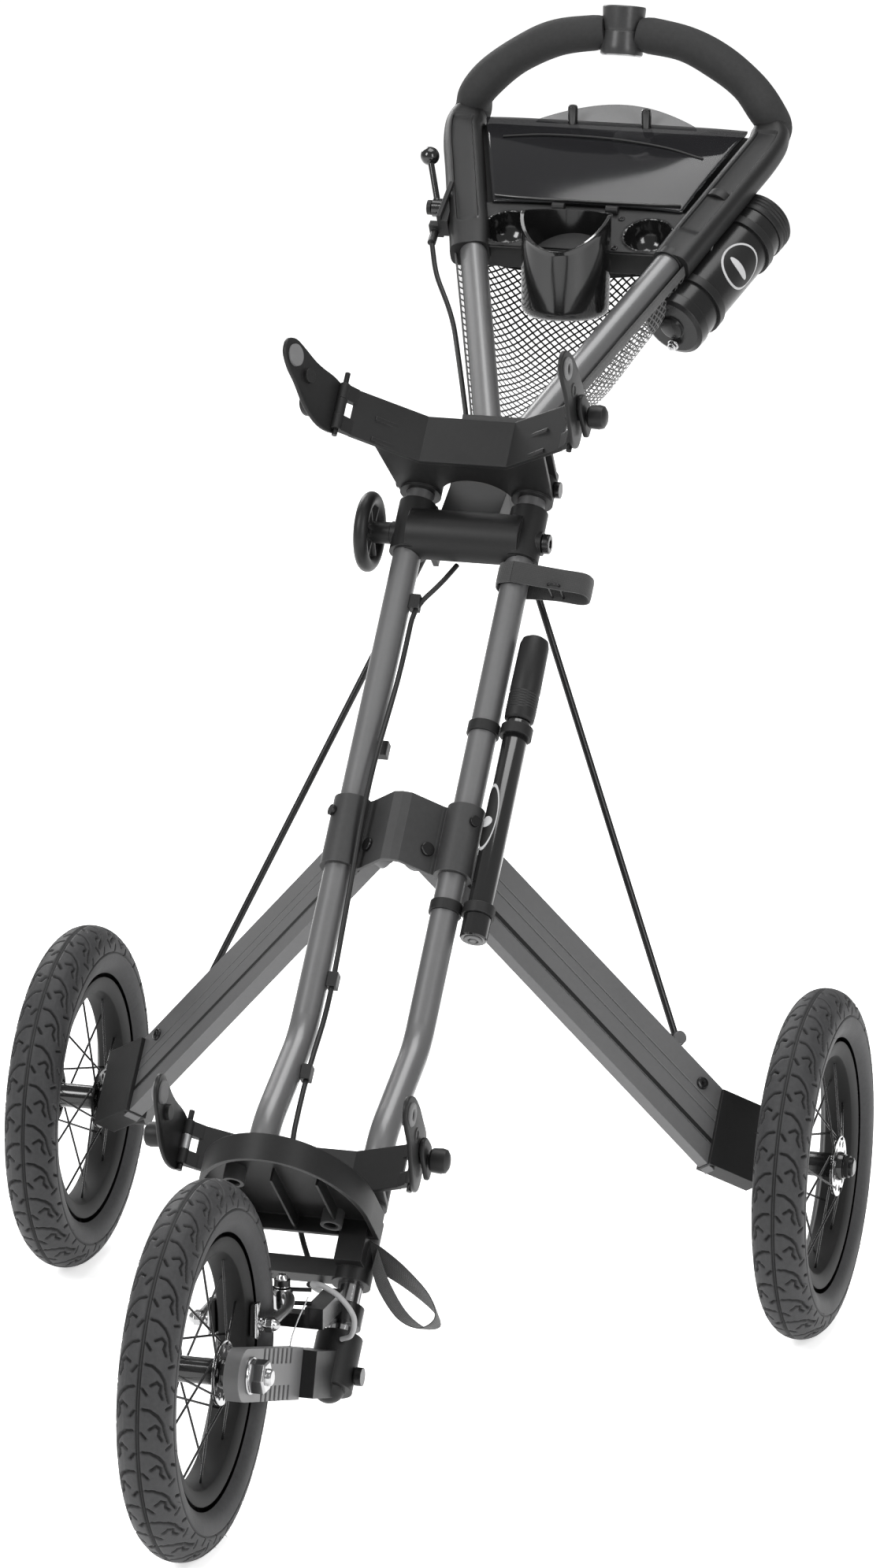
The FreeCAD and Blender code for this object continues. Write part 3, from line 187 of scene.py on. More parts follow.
def surface_group():
    """Grain, slow colour variation, rounded edges and light edge wear for a moulded or painted part."""
    group = bpy.data.node_groups.new("surface_detail", "ShaderNodeTree")
    group_socket(group, "Color", "NodeSocketColor", "INPUT", (0.5, 0.5, 0.5, 1))
    group_socket(group, "Roughness", "NodeSocketFloat", "INPUT", 0.5)
    group_socket(group, "Grain", "NodeSocketFloat", "INPUT", 0.1)
    group_socket(group, "Grain Scale", "NodeSocketFloat", "INPUT", 1500.0)
    group_socket(group, "Mottle", "NodeSocketFloat", "INPUT", 0.1)
    group_socket(group, "Wear", "NodeSocketFloat", "INPUT", 0.1)
    group_socket(group, "Color", "NodeSocketColor", "OUTPUT")
    group_socket(group, "Roughness", "NodeSocketFloat", "OUTPUT")
    group_socket(group, "Normal", "NodeSocketVector", "OUTPUT")
    tree = group
    inp, out = tree.nodes.new("NodeGroupInput"), tree.nodes.new("NodeGroupOutput")
    coord = tree.nodes.new("ShaderNodeTexCoord").outputs["Object"]
    bevel = tree.nodes.new("ShaderNodeBevel")
    bevel.samples = 4
    bevel.inputs["Radius"].default_value = 0.0011
    geo = tree.nodes.new("ShaderNodeNewGeometry")
    dot = tree.nodes.new("ShaderNodeVectorMath")
    dot.operation = "DOT_PRODUCT"
    tree.links.new(bevel.outputs[0], dot.inputs[0])
    tree.links.new(geo.outputs["Normal"], dot.inputs[1])
    edge = math_node(tree, "SUBTRACT", 1.0, dot.outputs["Value"], clamp=True)
    slow = noise(tree, coord, 14.0, 4.0)
    speck = noise(tree, coord, 240.0, 2.0)
    worn = math_node(tree, "MULTIPLY", math_node(tree, "MULTIPLY", edge, 5.0, clamp=True), inp.outputs["Wear"])
    spread = math_node(tree, "MULTIPLY", math_node(tree, "SUBTRACT", slow, 0.5), inp.outputs["Mottle"])
    fleck = math_node(tree, "MULTIPLY", math_node(tree, "SUBTRACT", speck, 0.5), inp.outputs["Mottle"])
    gain = math_node(tree, "ADD", math_node(tree, "ADD", spread, fleck), 1.0)
    tint = tree.nodes.new("ShaderNodeVectorMath")
    tint.operation = "SCALE"
    tree.links.new(inp.outputs["Color"], tint.inputs[0])
    tree.links.new(gain, tint.inputs["Scale"])
    mix = tree.nodes.new("ShaderNodeMix")
    mix.data_type = "RGBA"
    mix.inputs[7].default_value = (0.3, 0.3, 0.3, 1)
    tree.links.new(worn, mix.inputs[0])
    tree.links.new(tint.outputs[0], mix.inputs[6])
    tree.links.new(mix.outputs[2], out.inputs["Color"])
    rough = math_node(tree, "ADD", inp.outputs["Roughness"], math_node(tree, "MULTIPLY", spread, 0.8), clamp=True)
    tree.links.new(rough, out.inputs["Roughness"])
    grain = tree.nodes.new("ShaderNodeTexNoise")
    grain.inputs["Detail"].default_value = 2.0
    tree.links.new(coord, grain.inputs["Vector"])
    tree.links.new(inp.outputs["Grain Scale"], grain.inputs["Scale"])
    bump = tree.nodes.new("ShaderNodeBump")
    bump.inputs["Distance"].default_value = 0.0004
    tree.links.new(inp.outputs["Grain"], bump.inputs["Strength"])
    tree.links.new(grain.outputs["Fac"], bump.inputs["Height"])
    tree.links.new(bevel.outputs[0], bump.inputs["Normal"])
    tree.links.new(bump.outputs[0], out.inputs["Normal"])
    return group


SURFACE = surface_group()


def surface(name, color, rough, metallic=0.0, grain=0.1, scale=1500.0, mottle=0.12, wear=0.1, coat=0.0, shine=0.22):
    """A material built on the shared surface group. color is one grey value."""
    mat, tree, bsdf = new_material(name)
    node = tree.nodes.new("ShaderNodeGroup")
    node.node_tree = SURFACE
    node.inputs["Color"].default_value = (color, color, color * 1.01, 1)
    node.inputs["Roughness"].default_value = rough
    node.inputs["Grain"].default_value = grain
    node.inputs["Grain Scale"].default_value = scale
    node.inputs["Mottle"].default_value = mottle
    node.inputs["Wear"].default_value = wear
    tree.links.new(node.outputs["Color"], bsdf.inputs["Base Color"])
    tree.links.new(node.outputs["Roughness"], bsdf.inputs["Roughness"])
    tree.links.new(node.outputs["Normal"], bsdf.inputs["Normal"])
    bsdf.inputs["Metallic"].default_value = metallic
    bsdf.inputs["Coat Weight"].default_value = coat
    bsdf.inputs["Coat Roughness"].default_value = 0.12
    bsdf.inputs["Specular IOR Level"].default_value = shine
    return mat


PAINT = surface("satin_grey_paint", 0.115, 0.4, metallic=0.6, grain=0.05, scale=2600, mottle=0.1, wear=0.1, coat=0.25)
LEG_PAINT = surface("leg_paint", 0.115, 0.42, metallic=0.5, grain=0.06, scale=2600, mottle=0.12, wear=0.25)
ARM_PAINT = surface("arm_paint", 0.11, 0.45, metallic=0.2, grain=0.08, scale=2200, mottle=0.12, wear=0.2)
PLASTIC = surface("black_moulding", 0.0085, 0.44, grain=0.16, scale=1700, mottle=0.3, wear=0.06)
BRACKET = surface("grey_moulding", 0.026, 0.42, grain=0.1, scale=1400, mottle=0.25, wear=0.15, shine=0.3)
# Near-black finish: the real black of the rim barrels and brake pads, and painted shade in the eye holes, along the
# leg grooves and under the scorecard lid.
BLACK_AND_SHADE = surface("black_and_painted_shade", 0.004, 0.6, grain=0.1, scale=1500, mottle=0.2, wear=0.02)
SOFT_GREY = surface("grey_moulding", 0.12, 0.5, grain=0.15, scale=1500, mottle=0.15, wear=0.1)
PALE = surface("pale_badge", 0.36, 0.45, grain=0.05, scale=1500, mottle=0.08, wear=0.0)
GLOSS = surface("gloss_black", 0.006, 0.13, grain=0.02, scale=400, mottle=0.2, wear=0.02, coat=0.6)
CHROME = surface("chrome_plate", 0.38, 0.12, metallic=1.0, grain=0.03, scale=900, mottle=0.1, wear=0.0)
STEEL = surface("dull_steel", 0.33, 0.32, metallic=1.0, grain=0.08, scale=900, mottle=0.2, wear=0.0)
SPOKE = surface("black_spoke", 0.03, 0.25, metallic=0.8, grain=0.03, scale=900, mottle=0.2, wear=0.0)
FOAM = surface("closed_cell_foam", 0.020, 0.78, grain=0.5, scale=2400, mottle=0.35, wear=0.0)
SHEATH = surface("cable_sheath", 0.012, 0.4, grain=0.06, scale=900, mottle=0.2, wear=0.0)
BOOT = surface("grey_cable_boot", 0.27, 0.5, grain=0.1, scale=900, mottle=0.1, wear=0.0)
RUBBER_SIDE = surface("rubber_side", 0.032, 0.62, grain=0.3, scale=1300, mottle=0.45, wear=0.0)


def paint_nodes(mat, *names):
    """Gives one material to several carried pieces."""
    for name in names:
        node = NODES[name]
        node.data.materials.clear()
        node.data.materials.append(mat)


paint_nodes(PAINT, "left_main_tube", "right_main_tube", "upper_tubes")
paint_nodes(LEG_PAINT, "left_leg", "right_leg")
paint_nodes(ARM_PAINT, "fork_arm")
paint_nodes(BRACKET, "centre_bracket")
paint_nodes(SPOKE, "left_strut", "right_strut", "front_spokes", "left_spokes", "right_spokes")
paint_nodes(PLASTIC, "hinge_block", "tension_knob", "upper_cradle", "lower_cradle", "base_plate",
            "fork_knuckle", "tube_clips", "yoke", "console", "left_axle_box", "right_axle_box", "canister_clamps",
            "left_upper_ear", "right_upper_ear", "left_lower_ear", "right_lower_ear", "lever_bracket",
            "umbrella_collar", "front_rim", "left_rim", "right_rim", "canister", "canister_cap", "pump_barrel",
            "pump_handle")
paint_nodes(GLOSS, "cup_holder", "brake_lever", "handle_bars", "front_hub", "left_hub", "right_hub")
paint_nodes(SPOKE, "caliper_body")
paint_nodes(CHROME, "fork_tube", "front_axle", "left_brake_arm", "right_brake_arm")
paint_nodes(SPOKE, "hinge_bolt", "frame_fasteners")
paint_nodes(RUBBER_SIDE, "front_tyre", "left_tyre", "right_tyre")
paint_nodes(FOAM, "grips", "net_bag", "storage_strap", "webbing_loop")
paint_nodes(SHEATH, "brake_cable_lower", "brake_cable_upper")
paint_nodes(GLOSS, "scorecard_lid")
make_stage()
bpy.context.scene.view_settings.view_transform = "Standard"

# ---------------------------------------------------------------- mesh helpers
def add_mesh(name, verts, faces, mat, body, sharp=35.0, uv=None):
    """A new piece from points and faces, smooth with sharp edges past an angle, riding on a body."""
    mesh = bpy.data.meshes.new(name)
    mesh.from_pydata([tuple(v) for v in verts], [], faces)
    if uv is not None:
        layer = mesh.uv_layers.new(name="UVMap")
        index = np.zeros(len(mesh.loops), np.int32)
        mesh.loops.foreach_get("vertex_index", index)
        layer.data.foreach_set("uv", np.array(uv, np.float32)[index].ravel())
    return finish_mesh(name, mesh, mat, body, sharp)


def finish_mesh(name, mesh, mat, body, sharp=35.0):
    """Cleans the mesh, turns its faces outward and sets it riding on a body."""
    bm = bmesh.new()
    bm.from_mesh(mesh)
    bmesh.ops.recalc_face_normals(bm, faces=bm.faces)
    bm.to_mesh(mesh)
    bm.free()
    mesh.polygons.foreach_set("use_smooth", [True] * len(mesh.polygons))
    mesh.set_sharp_from_angle(angle=math.radians(sharp))
    for one in mat if isinstance(mat, (list, tuple)) else [mat]:
        mesh.materials.append(one)
    obj = bpy.data.objects.new(name, mesh)
    bpy.context.scene.collection.objects.link(obj)
    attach(obj, body)
    return obj


def ring_faces(rings, count, closed_ring=True, closed_path=False, caps=True):
    """Quads between rings of count points each, with n-gon ends."""
    faces = []
    turns = rings if closed_path else rings - 1
    for i in range(turns):
        a, b = i * count, ((i + 1) % rings) * count
        for j in range(count if closed_ring else count - 1):
            k = (j + 1) % count
            faces.append((a + j, a + k, b + k, b + j))
    if caps and closed_ring and not closed_path:
        faces.append(tuple(range(count)))
        faces.append(tuple(range((rings - 1) * count, rings * count)))
    return faces


def loft(name, rings, mat, body, caps=True, sharp=35.0, closed_ring=True):
    """A skin through rings of points."""
    count = len(rings[0])
    verts = [p for ring in rings for p in ring]
    return add_mesh(name, verts, ring_faces(len(rings), count, closed_ring, False, caps), mat, body, sharp)


def basis(axis):
    """Two unit vectors square to an axis and to each other, and the axis."""
    axis = Vector(axis).normalized()
    side = axis.cross(Vector((0, 0, 1)) if abs(axis.z) < 0.9 else Vector((1, 0, 0))).normalized()
    return side, axis.cross(side), axis


def turned(name, origin, axis, profile, mat, body, steps=48, sharp=30.0, hexes=()):
    """A lathe-turned piece: profile of (along, radius) in mm. Rows named in hexes are six-sided."""
    origin, axis = Vector(origin), Vector(axis).normalized()
    a, b, _ = basis(axis)
    rings = []
    for row, (along, r) in enumerate(profile):
        centre = origin + axis * along * MM
        ring = []
        for i in range(steps):
            t = 2 * math.pi * i / steps
            reach = r
            if row in hexes:
                reach = r / math.cos((t % (math.pi / 3)) - math.pi / 6) * math.cos(math.pi / 6) * 1.08
            ring.append(centre + (a * math.cos(t) + b * math.sin(t)) * max(reach, 0.01) * MM)
        rings.append(ring)
    return loft(name, rings, mat, body, sharp=sharp)


def smooth_line(points, steps=8):
    """Points on a smooth curve through the given ones."""
    pts = [Vector(p) for p in points]
    pts = [pts[0] * 2 - pts[1]] + pts + [pts[-1] * 2 - pts[-2]]
    out = []
    for p0, p1, p2, p3 in zip(pts, pts[1:], pts[2:], pts[3:]):
        for i in range(steps):
            t = i / steps
            out.append(0.5 * ((2 * p1) + (p2 - p0) * t + (2 * p0 - 5 * p1 + 4 * p2 - p3) * t * t
                              + (3 * p1 - p0 - 3 * p2 + p3) * t ** 3))
    return out + [pts[-2]]


def tangents(line):
    """The direction of a line at each of its points."""
    n = len(line)
    return [(line[min(i + 1, n - 1)] - line[max(i - 1, 0)]).normalized() for i in range(n)]


def pipe(name, line, radius, mat, body, count=16, caps=True, flat=1.0):
    """A round tube along a line; radius is a number or a function of 0 to 1."""
    rings, side = [], None
    for i, (p, t) in enumerate(zip(line, tangents(line))):
        side = basis(t)[0] if side is None else (side - t * side.dot(t)).normalized()
        other = t.cross(side)
        r = (radius(i / (len(line) - 1)) if callable(radius) else radius) * MM
        rings.append([p + (side * math.cos(a) + other * math.sin(a) * flat) * r
                      for a in (2 * math.pi * j / count for j in range(count))])
    return loft(name, rings, mat, body, caps=caps, sharp=50)


def ribbon(name, line, wides, thick, mat, body, cells=6):
    """A woven strap along a line. wides is its half-width vector at each point; UV runs in metres."""
    verts, uv, rows = [], [], []
    run = 0.0
    tang = tangents(line)
    for i, (p, w) in enumerate(zip(line, wides)):
        run += (p - line[i - 1]).length if i else 0.0
        normal = tang[i].cross(w).normalized()
        row = []
        for sign in (1, -1):
            for j in range(cells + 1) if sign > 0 else range(cells, -1, -1):
                t = -1 + 2 * j / cells
                row.append(p + w * t + normal * sign * thick / 2 * MM * (1 - 0.5 * t ** 8))
                uv.append((t * w.length, run))
        rows.append(row)
    count = len(rows[0])
    verts = [p for row in rows for p in row]
    return add_mesh(name, verts, ring_faces(len(rows), count), mat, body, 60, uv)


def flat_plate(name, outline, place, low, high, mat, body, bevel=1.0, segments=3):
    """A plate from a flat outline, both faces' edges rounded. place(a, b, c) gives the world point."""
    bm = bmesh.new()
    bottom = [bm.verts.new(place(a, b, low)) for a, b in outline]
    top = [bm.verts.new(place(a, b, high)) for a, b in outline]
    count = len(outline)
    bm.faces.new(bottom)
    bm.faces.new(list(reversed(top)))
    for i in range(count):
        j = (i + 1) % count
        bm.faces.new((bottom[i], top[i], top[j], bottom[j]))
    bmesh.ops.recalc_face_normals(bm, faces=bm.faces)
    rims = [e for e in bm.edges if all(v in bottom for v in e.verts) or all(v in top for v in e.verts)]
    if bevel:
        bmesh.ops.bevel(bm, geom=rims, offset=bevel * MM, segments=segments, profile=0.5, affect="EDGES",
                        material=-1, clamp_overlap=True)
    mesh = bpy.data.meshes.new(name)
    bm.to_mesh(mesh)
    bm.free()
    return finish_mesh(name, mesh, mat, body)


def round_outline(points, radius, steps=5):
    """Rounds the corners of a closed flat outline."""
    out, n = [], len(points)
    for i in range(n):
        a, b, c = (Vector(points[(i + k) % n]) for k in (-1, 0, 1))
        into, away = (a - b), (c - b)
        reach = min(radius, into.length * 0.45, away.length * 0.45)
        p, q = b + into.normalized() * reach, b + away.normalized() * reach
        for k in range(steps + 1):
            t = k / steps
            out.append(tuple(p * (1 - t) ** 2 + b * 2 * t * (1 - t) + q * t * t))
    return out


# ---------------------------------------------------------------- wheels
REAR_X, REAR_Y = 346.0, 730.0
WHEELS = (("front", 0.0, 0.0), ("left", -REAR_X, REAR_Y), ("right", REAR_X, REAR_Y))
AXLE_Z = 157.5
TYRE_MID = 133.0
TYRE_R = 24.3
PERIODS, STEPS_EACH = 27, 44
TREAD = (((4, 2), (10, 3), (17, 8), (22, 15), (24, 24), (27, 33)), ((10, 19), (15, 16), (19, 19), (18, 25), (21, 30)),
         ((25, 3), (31, 1)), ((30, 20), (35, 24)), ((3, 22), (7, 27)))


def tread_depth(across, along, period):
    """How deep the grooves are at one point of the tread, 0 to 1, with distances in mm."""
    depth = 0.0
    point = Vector((abs(across), along if across > 0 else (along + period * 0.5) % period))
    for line in TREAD:
        for wrap in (-period, 0, period):
            for a, b in zip(line, line[1:]):
                p, q = Vector((a[0], a[1] + wrap)), Vector((b[0], b[1] + wrap))
                t = max(0.0, min(1.0, (point - p).dot(q - p) / (q - p).length_squared))
                gap = (point - (p + (q - p) * t)).length
                depth = max(depth, 1.0 - gap / 1.5)
    for ring in (0.9, 36.5):
        depth = max(depth, 0.85 - abs(abs(across) - ring) / 0.9)
    return max(0.0, min(1.0, depth * 1.8))


def tyre_mesh():
    """One tyre about the X axis: a round section with a tread cut into it, and a groove value used to paint shade into
    the grooves.
    """
    centre, r = TYRE_MID, TYRE_R
    period = 2 * math.pi * AXLE_Z / PERIODS
    angles = [math.radians(a) for a in
              list(range(-142, -94, 8)) + [x * 2.4 for x in range(-39, 40)] + list(range(98, 146, 8))]
    steps = PERIODS * STEPS_EACH
    depth = np.zeros((STEPS_EACH, len(angles)))
    for i in range(STEPS_EACH):
        for j, a in enumerate(angles):
            if abs(a) < math.radians(100):
                depth[i, j] = tread_depth(a * r, period * i / STEPS_EACH, period)
    depth = np.tile(depth, (PERIODS, 1))
    turn = 2 * math.pi * np.arange(steps) / steps
    section = []
    for a in angles:
        reach = r + (0.25 if abs(a) < 0.55 else 0.0) - 0.5 * max(0.0, math.cos(4 * a)) * (abs(a) > 1.2)
        section.append((reach * math.sin(a), reach * math.cos(a), a))
    x = np.array([s[0] for s in section])
    out = np.array([s[1] for s in section])
    nx = np.array([math.sin(s[2]) for s in section])
    nr = np.array([math.cos(s[2]) for s in section])
    cut = depth * 2.3
    rr = centre + out[None, :] - cut * nr[None, :]
    xx = np.repeat(x[None, :], steps, 0) - cut * nx[None, :]
    verts = np.stack([xx, rr * np.cos(turn)[:, None], rr * np.sin(turn)[:, None]], -1).reshape(-1, 3) * MM
    count = len(angles)
    i, j = np.meshgrid(np.arange(steps), np.arange(count - 1), indexing="ij")
    k = (i + 1) % steps
    faces = np.stack([i * count + j, i * count + j + 1, k * count + j + 1, k * count + j], -1).reshape(-1, 4)
    mesh = bpy.data.meshes.new("tyre")
    mesh.from_pydata(verts.tolist(), [], faces.tolist())
    # The groove depth is stored so the material can paint shade into the grooves.
    tread_groove_shade = mesh.attributes.new("tread_groove_shade", "FLOAT", "POINT")
    tread_groove_shade.data.foreach_set("value", depth.reshape(-1).astype(np.float32))
    mesh.polygons.foreach_set("use_smooth", [True] * len(mesh.polygons))
    return mesh


def tyre_material():
    """Rubber: dusty tread, with painted shade darkening the grooves."""
    mat, tree, bsdf = new_material("tyre_rubber")
    node = tree.nodes.new("ShaderNodeGroup")
    node.node_tree = SURFACE
    node.inputs["Roughness"].default_value = 0.6
    bsdf.inputs["Specular IOR Level"].default_value = 0.25
    node.inputs["Grain"].default_value = 0.35
    node.inputs["Grain Scale"].default_value = 1100
    node.inputs["Mottle"].default_value = 0.5
    node.inputs["Wear"].default_value = 0.0
    tread_groove_shade = tree.nodes.new("ShaderNodeAttribute")
    tread_groove_shade.attribute_name = "tread_groove_shade"
    # The grooves are painted near-black: painted shade in the tread grooves.
    mix = tree.nodes.new("ShaderNodeMix")
    mix.data_type = "RGBA"
    mix.inputs[6].default_value = (0.026, 0.026, 0.027, 1)
    mix.inputs[7].default_value = (0.0015, 0.0015, 0.0015, 1)
    tree.links.new(tread_groove_shade.outputs["Fac"], mix.inputs[0])
    tree.links.new(mix.outputs[2], node.inputs["Color"])
    for key, target in (("Color", "Base Color"), ("Roughness", "Roughness"), ("Normal", "Normal")):
        tree.links.new(node.outputs[key], bsdf.inputs[target])
    return mat


def place_copy(name, mesh, x, y, body, mat, z=AXLE_Z):
    """The same mesh set at another wheel."""
    copy = mesh.copy()
    copy.transform(Matrix.Translation(world(x, y, z)))
    copy.materials.clear()
    for one in mat if isinstance(mat, (list, tuple)) else [mat]:
        copy.materials.append(one)
    obj = bpy.data.objects.new(name, copy)
    bpy.context.scene.collection.objects.link(obj)
    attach(obj, body)
    return obj


def wheel_ring(profile, steps=160):
    """A closed ring about X from an outline of (x, radius)."""
    verts, faces, n = [], [], len(profile)
    for i in range(steps):
        t = 2 * math.pi * i / steps
        verts += [(x * MM, r * math.cos(t) * MM, r * math.sin(t) * MM) for x, r in profile]
    for i in range(steps):
        k = (i + 1) % steps
        faces += [(i * n + j, i * n + (j + 1) % n, k * n + (j + 1) % n, k * n + j) for j in range(n)]
    return verts, faces


def flange_mesh(side):
    """A plated spoke flange with a ring of holes."""
    bm = bmesh.new()
    count, inner, mid, outer, hole = 10, 12.5, 20.5, 27.0, 3.0
    x0, x1 = side * 21.0, side * 23.6
    for c in range(count):
        a0, a1 = 2 * math.pi * c / count, 2 * math.pi * (c + 1) / count
        am = (a0 + a1) / 2
        rim = [(outer, a0 + (a1 - a0) * k / 4) for k in range(5)] + [(mid, a1)] + \
              [(inner, a1 - (a1 - a0) * k / 4) for k in range(5)] + [(mid, a0)]
        ring_out = [(r * math.cos(a), r * math.sin(a)) for r, a in rim]
        centre = (mid * math.cos(am), mid * math.sin(am))
        ring_in = []
        for y, z in ring_out:
            d = math.atan2(z - centre[1], y - centre[0])
            ring_in.append((centre[0] + hole * math.cos(d), centre[1] + hole * math.sin(d)))
        n = len(ring_out)
        for x in (x0, x1):
            po = [bm.verts.new((x * MM, y * MM, z * MM)) for y, z in ring_out]
            pi = [bm.verts.new((x * MM, y * MM, z * MM)) for y, z in ring_in]
            for k in range(n):
                m = (k + 1) % n
                bm.faces.new((po[k], po[m], pi[m], pi[k]))
        first = [bm.verts.new((x0 * MM, y * MM, z * MM)) for y, z in ring_in]
        last = [bm.verts.new((x1 * MM, y * MM, z * MM)) for y, z in ring_in]
        for k in range(n):
            m = (k + 1) % n
            bm.faces.new((first[k], first[m], last[m], last[k]))
    for r in (outer, inner):
        first = [bm.verts.new((x0 * MM, r * math.cos(t) * MM, r * math.sin(t) * MM))
                 for t in (2 * math.pi * k / 40 for k in range(40))]
        last = [bm.verts.new((x1 * MM, v.co.y, v.co.z)) for v in first]
        for k in range(40):
            m = (k + 1) % 40
            bm.faces.new((first[k], first[m], last[m], last[k]))
    bmesh.ops.remove_doubles(bm, verts=bm.verts, dist=0.00002)
    bmesh.ops.recalc_face_normals(bm, faces=bm.faces)
    mesh = bpy.data.meshes.new("flange")
    bm.to_mesh(mesh)
    bm.free()
    return mesh


def make_wheels():
    """Tyres, rims, hubs, flanges and mould hairs for all three wheels."""
    tyre, rubber = tyre_mesh(), tyre_material()
    rim = [(-15.5, 111), (-16, 107.5), (-13, 99.5), (-12, 98), (-7, 96.5), (7, 96.5), (12, 98), (13, 99.5),
           (16, 107.5), (15.5, 111)]
    verts, faces = wheel_ring(rim)
    rim_mesh = bpy.data.meshes.new("rim")
    rim_mesh.from_pydata(verts, [], faces)
    rim_mesh.polygons.foreach_set("use_smooth", [True] * len(faces))
    rim_mesh.set_sharp_from_angle(angle=math.radians(30))
    for i, face in enumerate(rim_mesh.polygons):
        face.material_index = 1 if i % len(rim) in (1, 7) else 0
    hub = [(-28, 7), (-28, 12), (-24, 13), (-21, 13), (-18, 11), (18, 11), (21, 13), (24, 13), (28, 12), (28, 7)]
    verts, faces = wheel_ring(hub, 48)
    hub_mesh = bpy.data.meshes.new("hub")
    hub_mesh.from_pydata(verts, [], faces)
    hub_mesh.polygons.foreach_set("use_smooth", [True] * len(faces))
    hub_mesh.set_sharp_from_angle(angle=math.radians(30))
    flanges = [flange_mesh(1), flange_mesh(-1)]
    for name, x, y in WHEELS:
        body = f"{name}_wheel"
        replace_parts(place_copy(f"{name}_tyre_tread", tyre, x, y, body, rubber), f"{name}_tyre")
        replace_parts(place_copy(f"{name}_rim_band", rim_mesh, x, y, body, [BLACK_AND_SHADE, RIM_GREY]), f"{name}_rim")
        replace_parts(place_copy(f"{name}_hub_spool", hub_mesh, x, y, body, GLOSS), f"{name}_hub")
        # The left wheel's flanges take the dark spoke finish in place of chrome: painted shade on that wheel's shaded
        # side.
        for side, flange in zip(("outer", "inner"), flanges):
            place_copy(f"{name}_flange_{side}", flange, x, y, body, CHROME if name != "left" else SPOKE)
        hairs(name, x, y, body)


def hairs(name, x, y, body):
    """The thin mould hairs left on a new tyre."""
    rng = random.Random(sum(map(ord, name)))
    verts, faces = [], []
    for _ in range(70):
        turn, a = rng.uniform(0, 2 * math.pi), rng.choice((-1, 1)) * rng.uniform(0.9, 1.6)
        out = Vector((math.sin(a), math.cos(a) * math.cos(turn), math.cos(a) * math.sin(turn)))
        root = Vector((0, TYRE_MID * math.cos(turn), TYRE_MID * math.sin(turn))) + out * 23.8
        tip = root + out * rng.uniform(1.5, 3.2) + Vector((rng.uniform(-1, 1), 0, rng.uniform(-1, 1)))
        p, q, _ = basis(out)
        start = len(verts)
        verts += [world(x, y, AXLE_Z) + (root + s) * MM for s in (p * 0.3, q * 0.3, -(p + q) * 0.3)]
        verts.append(world(x, y, AXLE_Z) + tip * MM)
        faces += [(start, start + 1, start + 3), (start + 1, start + 2, start + 3), (start + 2, start, start + 3)]
    add_mesh(f"{name}_tyre_hairs", verts, faces, RUBBER_SIDE, body)


RIM_GREY = surface("rim_grey", 0.12, 0.45, metallic=0.2, grain=0.1, scale=1200, mottle=0.15, wear=0.0)
make_wheels()


# ---------------------------------------------------------------- handle, console and lid
def grip_line(side):
    """The middle line of one grip, from the console arm to the collar."""
    pts = [upper(147.6, 594, -1.7), upper(147.6, 612, -1.7), world(141, 1314, 1011), world(124, 1317, 1031),
           world(97, 1318, 1051), world(62, 1318, 1067.5), world(16, 1319, 1075)]
    return [Vector((side * p.x, p.y, p.z)) for p in smooth_line(pts, 8)]


def make_grips():
    """Two foam sleeves over the bent handle, gathered slightly at both ends."""
    made = []
    for name, side in (("left", -1), ("right", 1)):
        line = grip_line(side)

        def radius(t):
            ends = min(t, 1 - t) / 0.05
            return 17.4 - 2.6 * max(0.0, 1 - ends) ** 2 + 0.35 * math.sin(t * 19 + side) * min(1, ends)

        made.append(pipe(f"{name}_grip_sleeve", line, radius, FOAM, "handle", 28))
    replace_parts(made[0], "grips")


def make_collar():
    """The umbrella socket: a waisted tube with a moulding seam and a metal ring at its foot."""
    low, high = world(0, 1315.5, 1054), world(0, 1325, 1099)
    axis = high - low
    length = axis.length / MM
    profile = [(0, 13.8), (0, 19.6), (1.5, 20.3), (8, 20.0), (length * 0.42, 18.9), (length * 0.47, 18.7),
               (length * 0.485, 18.2), (length * 0.5, 18.7), (length * 0.56, 19.0), (length - 8, 20.2),
               (length - 1.2, 20.6), (length, 19.8), (length, 14.2), (length - 3, 13.6), (3, 13.6), (0, 13.8)]
    socket = turned("umbrella_socket", low, axis, profile, SOCKET, "handle", 64)
    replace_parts(socket, "umbrella_collar")
    turned("umbrella_socket_ring", low, axis, [(-1.2, 14), (-1.2, 18.4), (0.6, 18.8), (0.6, 14)], STEEL, "handle", 48)


BALL_X, BALL_Q = 67.9, 430
ARM_LINE = ((97, 396, 37), (106, 430, 38), (118, 470, 38), (131, 515, 38), (142, 552, 38), (148, 576, 36),
            (148.5, 590, 36), (148, 598, 35))


def arm_rings(side):
    """Sections of one console arm: a fat rounded bar with a long shallow channel along its top."""
    pts = smooth_line([Vector((x, q, w)) for x, q, w in ARM_LINE], 12)
    rings = []
    for i, p in enumerate(pts):
        t = i / (len(pts) - 1)
        ahead, behind = pts[min(i + 1, len(pts) - 1)], pts[max(i - 1, 0)]
        along = Vector((ahead.x - behind.x, ahead.y - behind.y)).normalized()
        across = Vector((along.y, -along.x))
        half, tall = p.z / 2, 14.0 + 3.4 * max(0.0, (t - 0.82) / 0.18)
        depth = 2.6 * max(0.0, min(1.0, (t - 0.14) / 0.02, (0.80 - t) / 0.02))
        ring = []
        for k in range(96):
            a = 2 * math.pi * k / 96
            power = 0.62 + 0.38 * max(0.0, (t - 0.82) / 0.18)
            c = math.copysign(abs(math.cos(a)) ** power, math.cos(a))
            s = math.copysign(abs(math.sin(a)) ** power, math.sin(a))
            dip = depth * max(0.0, min(1.0, (0.56 - abs(c)) / 0.06)) if s > 0 else 0.0
            ring.append(upper(side * (p.x + across.x * c * half), p.y + across.y * c * half, s * tall - dip))
        rings.append(ring)
    return rings


